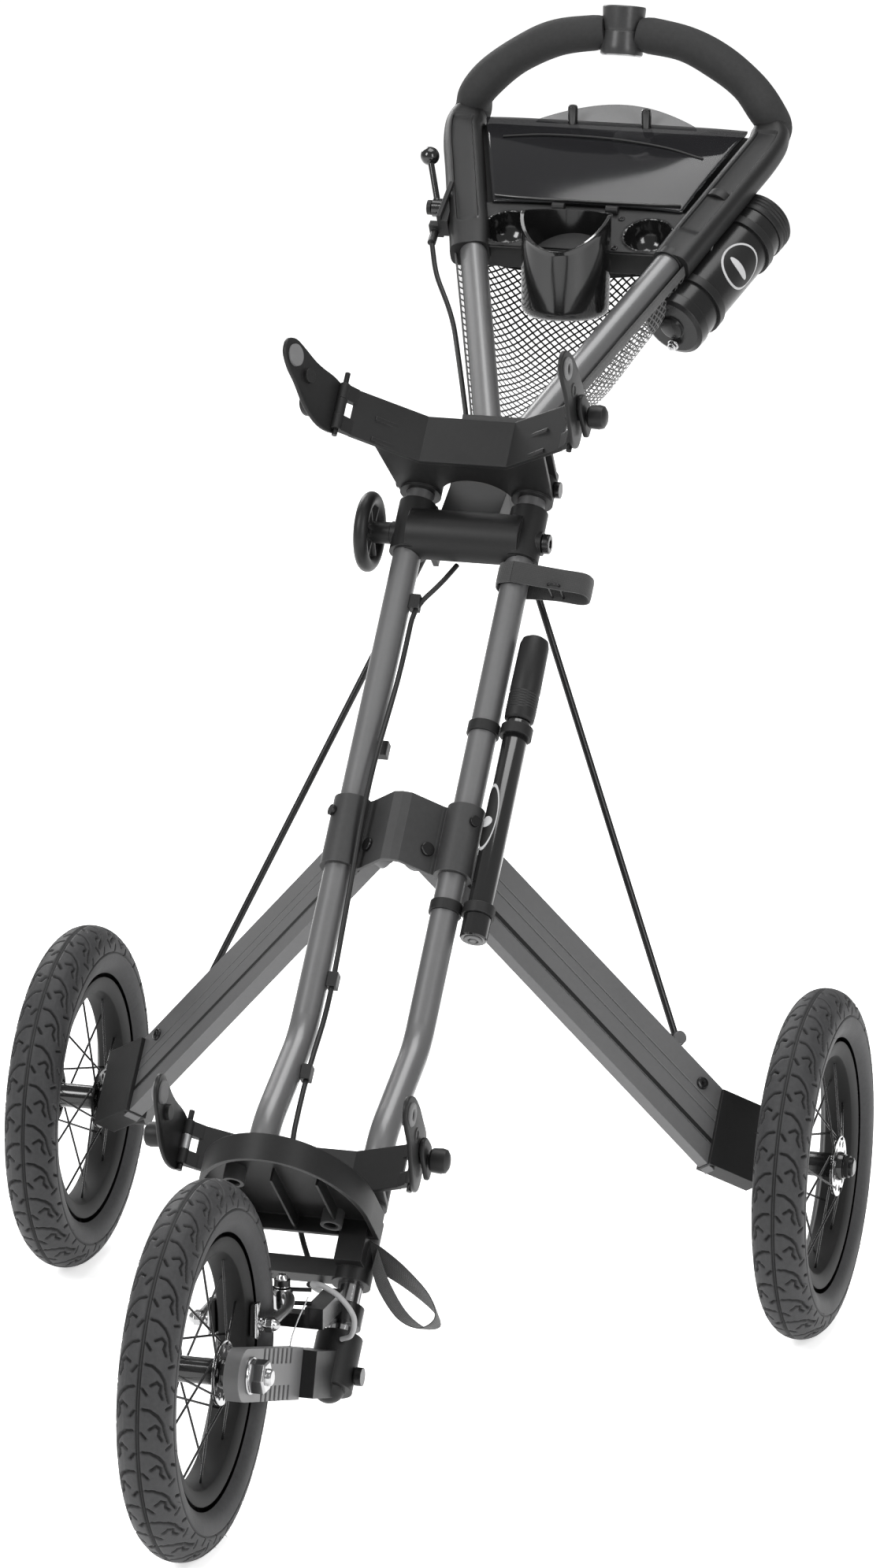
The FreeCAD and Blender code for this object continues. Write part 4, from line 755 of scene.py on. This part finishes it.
def deck_height(x, q):
    """The deck's top: a gentle crown with a ball cup on each side, each with a raised lip."""
    m = 5.0 + 0.8 * math.cos(min(1.0, abs(x) / 120) * math.pi / 2)
    d = math.hypot(abs(x) - BALL_X, q - BALL_Q)
    if d < 22:
        return 3.0 - math.sqrt(22 ** 2 - d ** 2)
    if d < 25:
        return m + 1.2 * math.sin((d - 22) / 3 * math.pi)
    return m


def make_deck():
    """The console deck with its two ball bowls."""
    cols, rows = 150, 46
    verts, faces = [], []
    for i in range(rows + 1):
        q = 404 + (466 - 404) * i / rows
        half = 100 + 16 * i / rows
        for j in range(cols + 1):
            x = -half + 2 * half * j / cols
            verts.append(upper(x, q, deck_height(x, q)))
    for i in range(rows):
        for j in range(cols):
            a = i * (cols + 1) + j
            faces.append((a, a + 1, a + cols + 2, a + cols + 1))
    deck = add_mesh("console_deck", verts, faces, [PLASTIC, GLOSS], "handle", 40)
    for face in deck.data.polygons:
        row, col = divmod(face.index, cols)
        q = 404 + 62 * (row + 0.5) / rows
        half = 100 + 16 * (row + 0.5) / rows
        x = -half + 2 * half * (col + 0.5) / cols
        if math.hypot(abs(x) - BALL_X, q - BALL_Q) < 24:
            face.material_index = 1
    solid = deck.modifiers.new("thickness", "SOLIDIFY")
    solid.thickness, solid.offset = 2.4 * MM, -1
    return deck


def make_console():
    """The console: two arms, deck, tray, knuckles and screws."""
    arms = [loft(f"console_arm_{name}", arm_rings(side), PLASTIC, "handle", sharp=45)
            for name, side in (("left", -1), ("right", 1))]
    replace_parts(arms[0], "console")
    make_deck()
    face = round_outline([(-100, -19), (100, -19), (106, 4.6), (-106, 4.6)], 6)
    flat_plate("console_front_skirt", face, lambda a, b, c: upper(a, c, b), 402, 404.5, PLASTIC, "handle", 0.8)
    # The tray is black moulding made darker still: painted shade beneath the lid.
    tray = round_outline([(-106, 462), (106, 462), (136, 594), (-136, 594)], 14)
    flat_plate("console_tray", tray, lambda a, b, c: upper(a, b, c), -12, -3, BLACK_AND_SHADE, "handle", 1.5)
    for x in (-26, 26):
        turned(f"lid_knuckle_{'left' if x < 0 else 'right'}", upper(x - 6, 461, 8), (1, 0, 0),
               [(0, 2), (0, 3.6), (0.6, 4.2), (11.4, 4.2), (12, 3.6), (12, 2)], PLASTIC, "handle", 24)
    for i, (x, q) in enumerate(((-97, 412), (-40, 409), (40, 409), (97, 412), (-37, 452), (37, 452))):
        spot = upper(x, q, deck_height(x, q) - 0.4)
        turned(f"deck_screw_{i}", spot, upper(0, 0, 1) - upper(0, 0, 0),
               [(0, 3.4), (1.2, 3.2), (1.6, 2.4), (1.2, 1.6), (0.4, 1.4), (0.4, 0.01)],
               SPOKE, "handle", 20, hexes=(4, 5))


def lid_material():
    """Smoked see-through plastic with a soft sheen."""
    mat, tree, bsdf = new_material("smoked_plastic")
    bsdf.inputs["Base Color"].default_value = (0.012, 0.012, 0.013, 1)
    bsdf.inputs["Specular IOR Level"].default_value = 0.3
    bsdf.inputs["Roughness"].default_value = 0.06
    bsdf.inputs["Alpha"].default_value = 0.8
    coord = tree.nodes.new("ShaderNodeTexCoord").outputs["Object"]
    wave = noise(tree, coord, 9.0, 1.0)
    bump = tree.nodes.new("ShaderNodeBump")
    bump.inputs["Strength"].default_value = 0.003
    bump.inputs["Distance"].default_value = 0.001
    tree.links.new(wave, bump.inputs["Height"])
    tree.links.new(bump.outputs[0], bsdf.inputs["Normal"])
    return mat


def lid_edge(t):
    """The lid's back edge: straight at both ends with a wide low dome in the middle."""
    return 590 + 30 * max(0.0, math.cos(min(1.0, abs(t) / 0.62) * math.pi / 2)) ** 0.9


def make_lid():
    """The smoked lid with its dome, posts and elastic."""
    smoke = lid_material()
    cols, rows = 60, 40
    verts, faces = [], []
    for i in range(rows + 1):
        u = i / rows
        for j in range(cols + 1):
            t = -1 + 2 * j / cols
            half = 91.3 + (127.7 - 91.3) * min(1.0, u * 1.02)
            q = 468 + (590 - 468) * u - 3.0 * (1 - u) * t * t
            bow = 7.6 + 3.0 * math.sin(u * math.pi) - 1.6 * abs(t) ** 6
            verts.append(upper(half * t, q, bow))
    for i in range(rows):
        for j in range(cols):
            a = i * (cols + 1) + j
            faces.append((a, a + 1, a + cols + 2, a + cols + 1))
    lid = add_mesh("scorecard_cover", verts, faces, smoke, "lid", 40)
    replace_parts(lid, "scorecard_lid")
    solid = lid.modifiers.new("thickness", "SOLIDIFY")
    solid.thickness, solid.offset = 2.2 * MM, 0
    arc = [(127 * t * 0.62, 588) for t in (1, 0.6, 0.2, -0.2, -0.6, -1)]
    dome = [(127.7 * 0.6 * t, lid_edge(0.6 * t)) for t in [-1 + k / 16 for k in range(33)]] + arc
    flat_plate("scorecard_cover_dome", dome, lambda a, b, c: upper(a, b, c), 5.2, 7.2, DOME, "lid", 0.5)
    for i, x in enumerate((-42, 30)):
        axis = upper(x, 594, 24) - upper(x, 586, 8)
        turned(f"pencil_post_{i}", upper(x, 586, 7.5), axis,
               [(0, 4.6), (14, 4.8), (17, 4.5), (18.2, 3.6), (18.2, 2.2), (15, 2.0), (15, 0.01)], GLOSS, "lid", 28)
    cord = smooth_line([upper(-103, 557, 11.6), upper(-60, 562, 12.4), upper(0, 561, 12.6), upper(55, 553, 12.3),
                        upper(96, 540, 11.4)], 10)
    pipe("scorecard_elastic", cord, 1.1, SHEATH, "lid", 10)
    rim = smooth_line([upper(-90, 472, 9.4), upper(-60, 469.5, 10.0), upper(0, 468.6, 10.2), upper(60, 469.5, 10.0),
                       upper(90, 472, 9.4)], 8)
    pipe("scorecard_cover_lip", rim, 1.5, GLOSS, "lid", 10)


def make_cup():
    """The drinks cup: a tapered glossy well, scooped at the front, with a rolled rim."""
    cols, rows = 72, 26
    verts, faces = [], []
    centre_y, floor = 1122.5, 838.0

    def rim_height(a):
        front = max(0.0, -math.sin(a))
        back = max(0.0, math.sin(a))
        return 96 - 30 * front ** 1.3 - 4 * back

    outer = [(40.8, 42.6), (38.4, 40.2)]
    for skin, (r0, r1) in enumerate(outer):
        for i in range(rows + 1):
            u = i / rows
            for j in range(cols):
                a = 2 * math.pi * j / cols
                top = rim_height(a)
                z = 0.0 + top * u if skin == 0 else 3 + (top - 3) * u
                edge = 5.5 * max(0.0, 1 - z / 7) ** 2
                r = r0 + (r1 - r0) * z / 118 - edge + (0.9 if u > 0.985 and skin == 0 else 0)
                verts.append(world(r * math.cos(a), centre_y + r * math.sin(a), floor + z))
    layer = (rows + 1) * cols
    for skin in (0, 1):
        for i in range(rows):
            for j in range(cols):
                a, b = skin * layer + i * cols + j, skin * layer + i * cols + (j + 1) % cols
                faces.append((a, b, b + cols, a + cols))
        faces.append(tuple(skin * layer + j for j in range(cols)))
    for j in range(cols):
        a, b = rows * cols + j, rows * cols + (j + 1) % cols
        faces.append((a, b, layer + b, layer + a))
    cup = add_mesh("cup_well", verts, faces, GLOSS, "handle", 50)
    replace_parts(cup, "cup_holder")


# ---------------------------------------------------------------- net bag, strap and webbing
def weave_group():
    """Threads from a UV in metres: a height for the bump and a mask of where the cloth is."""
    group = bpy.data.node_groups.new("weave", "ShaderNodeTree")
    group_socket(group, "Pitch", "NodeSocketFloat", "INPUT", 0.002)
    group_socket(group, "Thread", "NodeSocketFloat", "INPUT", 0.3)
    group_socket(group, "Mask", "NodeSocketFloat", "OUTPUT")
    group_socket(group, "Height", "NodeSocketFloat", "OUTPUT")
    inp, out = group.nodes.new("NodeGroupInput"), group.nodes.new("NodeGroupOutput")
    uv = group.nodes.new("ShaderNodeUVMap")
    split = group.nodes.new("ShaderNodeSeparateXYZ")
    group.links.new(uv.outputs[0], split.inputs[0])
    hills = []
    for axis in (0, 1):
        cell = math_node(group, "DIVIDE", split.outputs[axis], inp.outputs["Pitch"])
        part = math_node(group, "FRACT", cell)
        hills.append(math_node(group, "ABSOLUTE", math_node(group, "SUBTRACT", part, 0.5)))
    nearest = math_node(group, "MINIMUM", hills[0], hills[1])
    half = math_node(group, "MULTIPLY", inp.outputs["Thread"], 0.5)
    mask = math_node(group, "LESS_THAN", nearest, half)
    height = math_node(group, "SUBTRACT", 1.0, math_node(group, "DIVIDE", nearest, half), clamp=True)
    group.links.new(mask, out.inputs["Mask"])
    group.links.new(height, out.inputs["Height"])
    return group


WEAVE = weave_group()


def cloth(name, color, pitch, thread, rough=0.85, holes=False, bump=0.6):
    """A woven material; with holes, only the threads are solid."""
    mat, tree, bsdf = new_material(name)
    node = tree.nodes.new("ShaderNodeGroup")
    node.node_tree = WEAVE
    node.inputs["Pitch"].default_value = pitch
    node.inputs["Thread"].default_value = thread
    coord = tree.nodes.new("ShaderNodeTexCoord").outputs["Object"]
    fade = math_node(tree, "ADD", math_node(tree, "MULTIPLY", noise(tree, coord, 60.0), 0.6), 0.7)
    tint = tree.nodes.new("ShaderNodeVectorMath")
    tint.operation = "SCALE"
    tint.inputs[0].default_value = (color, color, color)
    tree.links.new(fade, tint.inputs["Scale"])
    tree.links.new(tint.outputs[0], bsdf.inputs["Base Color"])
    bsdf.inputs["Roughness"].default_value = rough
    bsdf.inputs["Sheen Weight"].default_value = 0.25
    lift = tree.nodes.new("ShaderNodeBump")
    lift.inputs["Strength"].default_value = bump
    lift.inputs["Distance"].default_value = 0.0004
    tree.links.new(node.outputs["Height"], lift.inputs["Height"])
    tree.links.new(lift.outputs[0], bsdf.inputs["Normal"])
    if holes:
        tree.links.new(node.outputs["Mask"], bsdf.inputs["Alpha"])
    return mat


def net_point(t, u):
    """The net pouch's cloth: t across from left top edge to right, u from the yoke to the console."""
    q = 150 + 292 * u
    half = 15.5 + (q - 142) * 0.307 + 15 + 3 * u
    deep = 24 + 52 * math.sin(math.pi * 0.88 * u) ** 0.7
    c, s = math.cos(math.pi * t), math.sin(math.pi * t)
    x = -half * math.copysign(abs(c) ** 0.8, c)
    pucker = 1.6 * math.sin(u * 17 + t * 9) + 1.1 * math.sin(t * 31 + u * 5)
    return upper(x, q, -3 - deep * s ** 0.8 - pucker * s)


def make_net():
    """The net pouch and its four bound edges."""
    cols, rows = 60, 60
    verts, faces, uv = [], [], []
    run = 0.0
    for i in range(rows + 1):
        u = i / rows
        row = [net_point(j / cols, u) for j in range(cols + 1)]
        if i:
            run += (row[cols // 2] - last[cols // 2]).length
        across = 0.0
        for j, p in enumerate(row):
            across += (p - row[j - 1]).length if j else 0.0
            uv.append(((across + run) * 0.7071, (run - across) * 0.7071))
        verts += row
        last = row
    for i in range(rows):
        for j in range(cols):
            a = i * (cols + 1) + j
            faces.append((a, a + 1, a + cols + 2, a + cols + 1))
    net = add_mesh("net_pouch", verts, faces, cloth("net_cloth", 0.016, 0.0062, 0.3, holes=True), "handle", 180, uv)
    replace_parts(net, "net_bag")
    tape = cloth("binding_tape", 0.014, 0.0011, 0.9)
    for name, t in (("left", 0.0), ("right", 1.0)):
        line = [net_point(t, i / 30) for i in range(31)]
        wides = [(upper(0, 0, 5.5) - upper(0, 0, 0)) for _ in line]
        ribbon(f"net_binding_{name}", line, wides, 1.6, tape, "handle")
    end = [net_point(j / 40, 1.0) for j in range(41)]
    wides = [(upper(0, 6.5, 0) - upper(0, 0, 0)) for _ in end]
    ribbon("net_binding_console", end, wides, 1.6, tape, "handle")
    mouth = [net_point(0.15 + 0.7 * j / 30, 0.03) for j in range(31)]
    ribbon("net_binding_yoke", mouth, wides[:31], 1.6, tape, "handle")


def make_strap():
    """A loop of hook-and-loop tape round the right tube, bulged out and drooping, with its keeper."""
    tape = cloth("strap_cloth", 0.013, 0.0013, 0.9)
    s = 1004
    line = []
    path = [(52, 15.6), (40, 11), (36.5, 0), (41, -11), (52, -15.8), (66, -14.5), (90, -11.5), (112, -12.5),
            (121, -7), (122, 2), (116, 9), (96, 10), (70, 12.5)]
    for x, n in path:
        droop = -4.0 * max(0.0, (x - 60) / 60) ** 1.2
        line.append(lower(x, s + droop, MAIN_N + n))
    line = smooth_line(line + [line[0]], 6)
    wide = lower(0, 10.5, 0) - lower(0, 0, 0)
    strap = ribbon("storage_strap_loop", line, [wide] * len(line), 2.0, tape, "frame")
    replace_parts(strap, "storage_strap")
    keeper = [(86, -15), (86, -2), (86, 12.5), (91, 14), (96, 12.5), (96, -2), (96, -15), (91, -16), (86, -15)]
    wire = smooth_line([lower(x, s - 9, MAIN_N + n) for x, n in keeper], 5)
    pipe("storage_strap_wire", wire, 1.0, SPOKE, "frame", 10)


def make_webbing():
    """A twisted loop of webbing hanging beside the right tube."""
    tape = cloth("webbing_cloth", 0.014, 0.0016, 0.88, bump=0.9)
    pts = [lower(60, 322, LOW_N + 8), lower(78, 314, LOW_N + 6), lower(100, 302, LOW_N + 2),
           lower(124, 284, LOW_N - 2), lower(134, 266, LOW_N + 2), lower(124, 256, LOW_N + 9),
           lower(104, 266, LOW_N + 10), lower(84, 290, LOW_N + 12), lower(72, 312, LOW_N + 14)]
    line = smooth_line(pts, 8)
    wides = []
    for i in range(len(line)):
        t = i / (len(line) - 1)
        turn = math.radians(20 + 150 * t)
        wides.append((lower(0, math.cos(turn) * 11, math.sin(turn) * 11) - lower(0, 0, 0)))
    strap = ribbon("webbing_tail", line, wides, 1.8, tape, "frame")
    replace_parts(strap, "webbing_loop")


SOCKET = surface("umbrella_socket_moulding", 0.035, 0.33, metallic=0.3, grain=0.1, scale=1500, mottle=0.3, wear=0.1)
DOME = surface("smoked_dome", 0.16, 0.25, grain=0.02, scale=900, mottle=0.1, wear=0.0)
DOME.node_tree.nodes["Principled BSDF"].inputs["Alpha"].default_value = 0.75
make_grips()
make_collar()
make_console()
make_lid()
make_cup()
make_net()
make_strap()
make_webbing()


# ---------------------------------------------------------------- ears
EARS = (("upper", 1084.0, 46.0, 108.0, MAIN_N + 109.0, {"left": 22.0, "right": -2.0}),
        ("lower", 365.0, 40.0, 101.8, LOW_N + 56.0, {"left": 2.0, "right": 2.0}))


def ear_place(side, pin_x, pin_n, lean):
    """Places x out, s along, n up from the hinge pin, on an ear that leans outward by some degrees."""
    turn = math.radians(lean)

    def place(x, s, n):
        out = x * math.cos(turn) + n * math.sin(turn)
        rise = n * math.cos(turn) - x * math.sin(turn)
        return lower(side * (pin_x + out), s, pin_n + rise)
    return place


def make_ear(which, s0, tall, pin_x, pin_n, lean, name):
    """One strap ear: a curved blade with eyes, a paddle, a thumb knob and its hinge barrel."""
    side = 1 if name == "right" else -1
    body = f"{name}_{which}_ear"
    put = ear_place(side, pin_x, pin_n, lean)
    mid = s0 + tall / 2
    wide = [(mid - 24, -9), (mid + 20, -9), (mid + 26, 10), (mid + 25, 34), (mid + 29, 58), (mid + 30, 74),
            (mid + 22, 88), (mid + 8, 88), (mid - 2, 76), (mid - 8, 60), (mid - 22, 40), (mid - 30, 16)]
    outline = round_outline(wide, 12, 5)
    holes = ((mid + 13, 72, 5.5), (mid + 6, 47, 4.2))
    blade = flat_plate(f"{body}_blade", outline, lambda a, b, c: put(c + 3.0 * math.sin(max(0, b) / 88 * 3.1), a, b),
                       2.2, 6.2, PLASTIC, body, 1.2)
    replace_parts(blade, body)
    for i, (s, n, r) in enumerate(holes):
        inside, out = put(1.0, s, n), put(9.6, s, n)
        grow = 1.7 if i == 0 else 1.0
        turned(f"{body}_eye_{i}", inside, out - inside,
               [(0, r), (0, r + 2.6 * grow), (7.4, r + 2.9 * grow), (8.6, r + 2.2 * grow), (8.6, r), (7.6, r - 0.8),
                (1.0, r - 0.8)], SOFT_GREY if i == 0 else PLASTIC, body, 32)
        # A dark plug inside each eye is painted shade filling the hole.
        turned(f"{body}_eye_hole_shade_{i}", inside, out - inside, [(0.4, 0.01), (0.4, r), (7.0, r), (7.0, 0.01)],
               BLACK_AND_SHADE, body, 24)
    lever = round_outline([(mid - 14, -6), (mid + 6, -10), (mid + 15, 8), (mid + 13, 30), (mid + 5, 38), (mid - 5, 30),
                           (mid - 9, 12)], 7, 5)
    flat_plate(f"{body}_paddle", lever, lambda a, b, c: put(c, a, b), 9.5, 14.0, PLASTIC, body, 1.3)
    hub, tip = put(4, mid, 12), put(32, mid, 12)
    turned(f"{body}_knob", hub, tip - hub,
           [(0, 4), (11, 4.4), (12, 8.6), (14, 10.4), (22, 11.0), (26, 10.0), (28.2, 6.5), (28.9, 0.01)],
           PLASTIC, body, 36)
    low, high = put(0, s0 + tall / 3, 0), put(0, s0 + tall * 2 / 3, 0)
    turned(f"{body}_barrel", low, high - low,
           [(0, 3), (0, 4.8), (tall / 3, 4.8), (tall / 3, 3)], STEEL if which == "lower" else PLASTIC, body, 24)


def make_ears():
    """The four strap ears."""
    for which, s0, tall, pin_x, pin_n, leans in EARS:
        for name in ("left", "right"):
            make_ear(which, s0, tall, pin_x, pin_n, leans[name], name)


# ---------------------------------------------------------------- brake, axle and badges
def block(name, place, size, mat, body, bevel=1.0):
    """A small block with rounded edges, centred at a point in the scene."""
    a, b, c = (v / 2 for v in size)
    outline = round_outline([(-a, -b), (a, -b), (a, b), (-a, b)], min(a, b) * 0.4, 4)
    return flat_plate(name, outline, lambda x, y, z: place(x, y, z), -c, c, mat, body, bevel)


def make_brake():
    """Cantilever arms with plated pad holders, cap nuts, a cross cable and its grey boot."""
    y0, z0 = 186.0, 168.0
    for name, side in (("left", -1), ("right", 1)):
        body = f"{name}_brake_arm"
        pts = [world(side * 16, y0, z0), world(side * 25, y0 - 10, z0 + 1), world(side * 31, y0 - 32, z0),
               world(side * 31, y0 - 60, z0), world(side * 29, y0 - 83, z0)]
        line = smooth_line(pts, 8)
        arm = pipe(f"{body}_casting", line, lambda t: 5.6 - 1.2 * math.sin(t * math.pi), STEEL, body, 16, flat=0.8)
        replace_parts(arm, body)
        turned(f"{body}_boss", world(side * 16, y0, z0 - 12), (0, 0, 1),
               [(0, 5), (0, 8.6), (2, 9.2), (14, 9.2), (17.6, 7.6), (17.6, 4.3)], CHROME, body, 36)
        pad = world(side * 17, 102.5, 171)
        block(f"{body}_pad", lambda a, b, c, p=pad: p + Vector((c, a, b)) * MM, (9, 29, 3.6), BLACK_AND_SHADE, body, 0.8)
        shell = world(side * 20.6, 102, 171)
        block(f"{body}_pad_holder", lambda a, b, c, p=shell: p + Vector((c, a, b)) * MM, (8.6, 31, 2.6),
              CHROME, body, 0.8)
        turned(f"{body}_pad_stud", world(side * 21, 103, z0), (side, 0, 0),
               [(0, 4.4), (2, 5.6), (4, 5.6), (4, 3.4), (7, 3.4), (7, 6.2), (13, 6.2), (13.6, 5.4), (15, 5.0),
                (17, 3.6), (18.4, 1.8), (18.8, 0.01)], CHROME, body, 36, hexes=(5, 6))
        turned(f"{name}_brake_cap_nut", world(side * 16, y0, z0 + 6.4), (0, 0, 1),
               [(0, 6.6), (1, 7.2), (2, 6.6), (2, 5.4), (7, 5.4), (7.6, 4.8), (9.6, 4.4), (11.2, 3.0), (12, 0.01)],
               CHROME, "frame", 36, hexes=(3, 4))
    boot = smooth_line([world(34, 214, 170), world(46, 205, 172), world(62, 203, 164), world(73, 206, 147),
                        world(70, 210, 130), world(60, 213, 124)], 10)
    pipe("brake_cable_boot", boot, lambda t: 2.6 - 0.5 * t, BOOT, "frame", 16)
    wire = smooth_line([world(42, 176, 171), world(36, 160, 150), world(34, 150, 133), world(37, 152, 120)], 8)
    pipe("brake_loose_wire", wire, 0.6, STEEL, "frame", 8)
    for i, dz in enumerate((4, -8)):
        link = smooth_line([world(-15, y0 + 3, z0 + dz), world(10, y0 + 1, z0 + dz), world(40, y0 + 6, z0 + dz)], 6)
        pipe(f"brake_link_{i}", link, 1.9, SPOKE, "frame", 12)


def make_axle_details():
    """The big plated axle nut and washer beside the fork arm, and the nuts at the rear hubs."""
    nut = turned("axle_nut", world(46, 0, AXLE_Z), (1, 0, 0),
                 [(0, 8), (0, 15.5), (1.4, 15.8), (2.2, 15.2), (2.2, 12.6), (3.2, 13.4), (13.5, 13.4), (15, 12.0),
                  (15, 7.2), (18, 7.0), (19.2, 5.8), (19.2, 0.01)], CHROME, "frame", 72, hexes=(4, 5, 6, 7))
    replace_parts(nut, "front_axle")
    turned("axle_shaft", world(-36, 0, AXLE_Z), (1, 0, 0),
           [(0, 0.01), (0, 8), (5, 8.4), (6, 5.6), (64, 5.6), (64, 8.6), (69, 8.6), (69, 0.01)], STEEL, "frame", 32)
    for name, side in (("left", -1), ("right", 1)):
        turned(f"{name}_axle_cap", world(side * 374, REAR_Y, AXLE_Z), (side, 0, 0),
               [(0, 6), (0, 10.6), (1.2, 11), (2, 8.6), (8, 8.2), (9.2, 6.6), (9.2, 0.01)], SPOKE, f"{name}_leg", 36)


def patch(name, place, half_a, half_b, lift, mat, body, corners=48):
    """A thin oval label laid on a curved face, with its edge turned down into it."""
    rings = (0.0, 0.3, 0.6, 0.85, 1.0, 1.0)
    verts, faces = [place(0, 0, lift)], []
    for r, c in zip(rings[1:], (lift, lift, lift, lift, -0.6)):
        verts += [place(half_a * r * math.cos(2 * math.pi * i / corners),
                        half_b * r * math.sin(2 * math.pi * i / corners), c) for i in range(corners)]
    for i in range(corners):
        j = (i + 1) % corners
        faces.append((0, 1 + i, 1 + j))
        for k in range(len(rings) - 2):
            a, b = 1 + k * corners, 1 + (k + 1) * corners
            faces.append((a + i, b + i, b + j, a + j))
    return add_mesh(name, verts, faces, mat, body, 40)


def badge(name, place, half_a, half_b, body):
    """A plain pale label with a dark oval and a pale bar, in place of any mark."""
    patch(name, place, half_a, half_b, 0.4, PALE, body)
    patch(f"{name}_field", place, half_a * 0.9, half_b * 0.9, 0.7, PLASTIC, body)
    patch(f"{name}_bar", lambda a, b, c: place(a, b - half_b * 0.15, c), half_a * 0.62, half_b * 0.16, 1.0, PALE, body)


def make_pump():
    """The pump: barrel, valve ring, ribbed grip and plain label."""
    axis = lower(0, 1, 0) - lower(0, 0, 0)
    foot = lower(82, 646, MAIN_N)
    barrel = turned("pump_tube", foot, axis,
                    [(0, 5), (0, 11.2), (1.2, 12.4), (28, 12.4), (30, 11.2), (214, 11.2), (215.4, 10.4), (215.4, 8)],
                    GLOSS, "frame", 48)
    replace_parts(barrel, "pump_barrel")
    turned("pump_valve_ring", foot, -axis, [(0, 8.6), (1.2, 8.2), (1.2, 5), (0.2, 4.6), (0.2, 3.4), (1.6, 3.0),
                                             (1.6, 0.01)], SOFT_GREY, "frame", 36)
    ribs = [(0, 9), (0, 11.4), (2, 13.2)]
    for i in range(7):
        ribs += [(10 + i * 2.6, 13.7), (11.1 + i * 2.6, 13.1), (11.9 + i * 2.6, 13.1)]
    ribs += [(30, 13.7), (76, 13.2), (81.5, 11.8), (83.8, 8.4), (84, 0.01)]
    grip = turned("pump_grip", lower(82, 862, MAIN_N), axis, ribs, PLASTIC, "pump_plunger", 48)
    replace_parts(grip, "pump_handle")
    around = 11.35

    def wrap(a, b, c):
        turn = math.radians(-38) + a / around
        return lower(82 + (around + c) * math.sin(turn), 762 + b, MAIN_N + (around + c) * math.cos(turn))
    badge("pump_badge", wrap, 9.5, 33, "frame")


def make_canister():
    """The ball canister: a dark shell with a ribbed screw cap, end boss and nut, and a plain pale label."""
    reach_x, reach_q = 82.7, 269.5
    span = math.hypot(reach_x, reach_q)
    arm_dx, arm_dq = reach_x / span, reach_q / span
    turn = math.radians(-66)

    def at(t, radial=(0, 0)):
        along = (364 - 142) / arm_dq + t
        side, high = 47 * math.cos(turn) + radial[0], 47 * math.sin(turn) + radial[1]
        return upper(15.5 + arm_dx * along + side * arm_dq, 142 + arm_dq * along - side * arm_dx, high)

    axis = at(1) - at(0)
    shell = turned("canister_shell", at(0), axis,
                   [(-4, 0.01), (-4, 9), (-3, 11), (0, 12), (0, 27), (2.4, 31.0), (13, 31.5), (14, 30.0), (150, 30.0),
                    (150, 27)], GLOSS_SOFT, "handle", 72)
    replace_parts(shell, "canister")
    cap = [(150.4, 27), (150.4, 31.0), (152, 31.5)]
    for i in range(3):
        cap += [(155 + i * 4, 31.6), (156 + i * 4, 30.6), (157.6 + i * 4, 30.6), (158.4 + i * 4, 31.6)]
    cap += [(169, 31.4), (171.6, 29.6), (172, 27), (170.6, 24), (170.6, 0.01)]
    top = turned("canister_screw_cap", at(0), axis, cap, PLASTIC, "canister_top", 72)
    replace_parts(top, "canister_cap")
    turned("canister_nut", at(-3, (2, -17)), -axis,
           [(0, 5.2), (2, 5.6), (2, 4.2), (5.4, 4.2), (5.4, 2.6), (8, 2.4), (8.6, 0.01)],
           CHROME, "handle", 30, hexes=(2, 3))

    def wrap(a, b, c):
        a0 = math.radians(30) + a / 30.0
        return at(88 + b, ((30.1 + c) * math.cos(a0), (30.1 + c) * math.sin(a0)))
    badge("canister_badge", wrap, 21, 25, "handle")


def make_plate_details():
    """Two ring bosses on the underside of the bag plate."""
    for i, (x, n) in enumerate(((-34, 112), (36, 40))):
        turned(f"plate_ring_{i}", lower(x, 329, LOW_N + n), lower(0, -1, 0) - lower(0, 0, 0),
               [(-14, 6.4), (1.2, 6.4), (1.2, 9.4), (-14, 9.4)], SOFT_BLACK, "frame", 36)


GLOSS_SOFT = surface("canister_shell_black", 0.009, 0.27, grain=0.03, scale=900, mottle=0.3, wear=0.05)
SOFT_BLACK = surface("rib_black", 0.03, 0.5, grain=0.1, scale=1500, mottle=0.2, wear=0.1)
make_ears()
make_brake()
make_axle_details()
make_pump()
make_canister()
make_plate_details()


# ---------------------------------------------------------------- leg screws and painted groove shade
def leg_point(side, l, e, w):
    """A point along a leg from its pivot, across it, and out of its flat face."""
    turn, dip = math.radians(43.2), math.radians(25.4)
    along = l * math.cos(dip) + e * math.sin(dip)
    x = 26.7 + along * math.cos(turn) + w * math.sin(turn)
    s = 724.9 - l * math.sin(dip) + e * math.cos(dip)
    return lower(side * x, s, MAIN_N + 9.97 - along * math.sin(turn) + w * math.cos(turn))


def make_leg_details():
    """A strip of painted shade along a groove, and a screw, on each leg."""
    face = -7.0
    for name, side in (("left", -1), ("right", 1)):
        body = f"{name}_leg"
        # The dark strip laid on each leg's face is painted shade standing for the groove's shadow.
        shade_strip = round_outline([(24, 9.5), (374, 9.5), (374, 13.5), (24, 13.5)], 1, 3)
        flat_plate(f"{name}_leg_groove_shade", shade_strip, lambda a, b, c, k=side: leg_point(k, a, b, face + c), -0.5, 0.2,
                   BLACK_AND_SHADE, body, 0)
        foot, tip = leg_point(side, 330, 47, face - 0.3), leg_point(side, 330, 47, face + 3)
        turned(f"{name}_leg_screw", foot, tip - foot,
               [(0, 5.6), (1.0, 5.8), (2.6, 5.2), (3.1, 4.2), (3.1, 2.4), (1.6, 2.2), (1.6, 0.01)],
               SPOKE, body, 30, hexes=(4, 5))


make_leg_details()
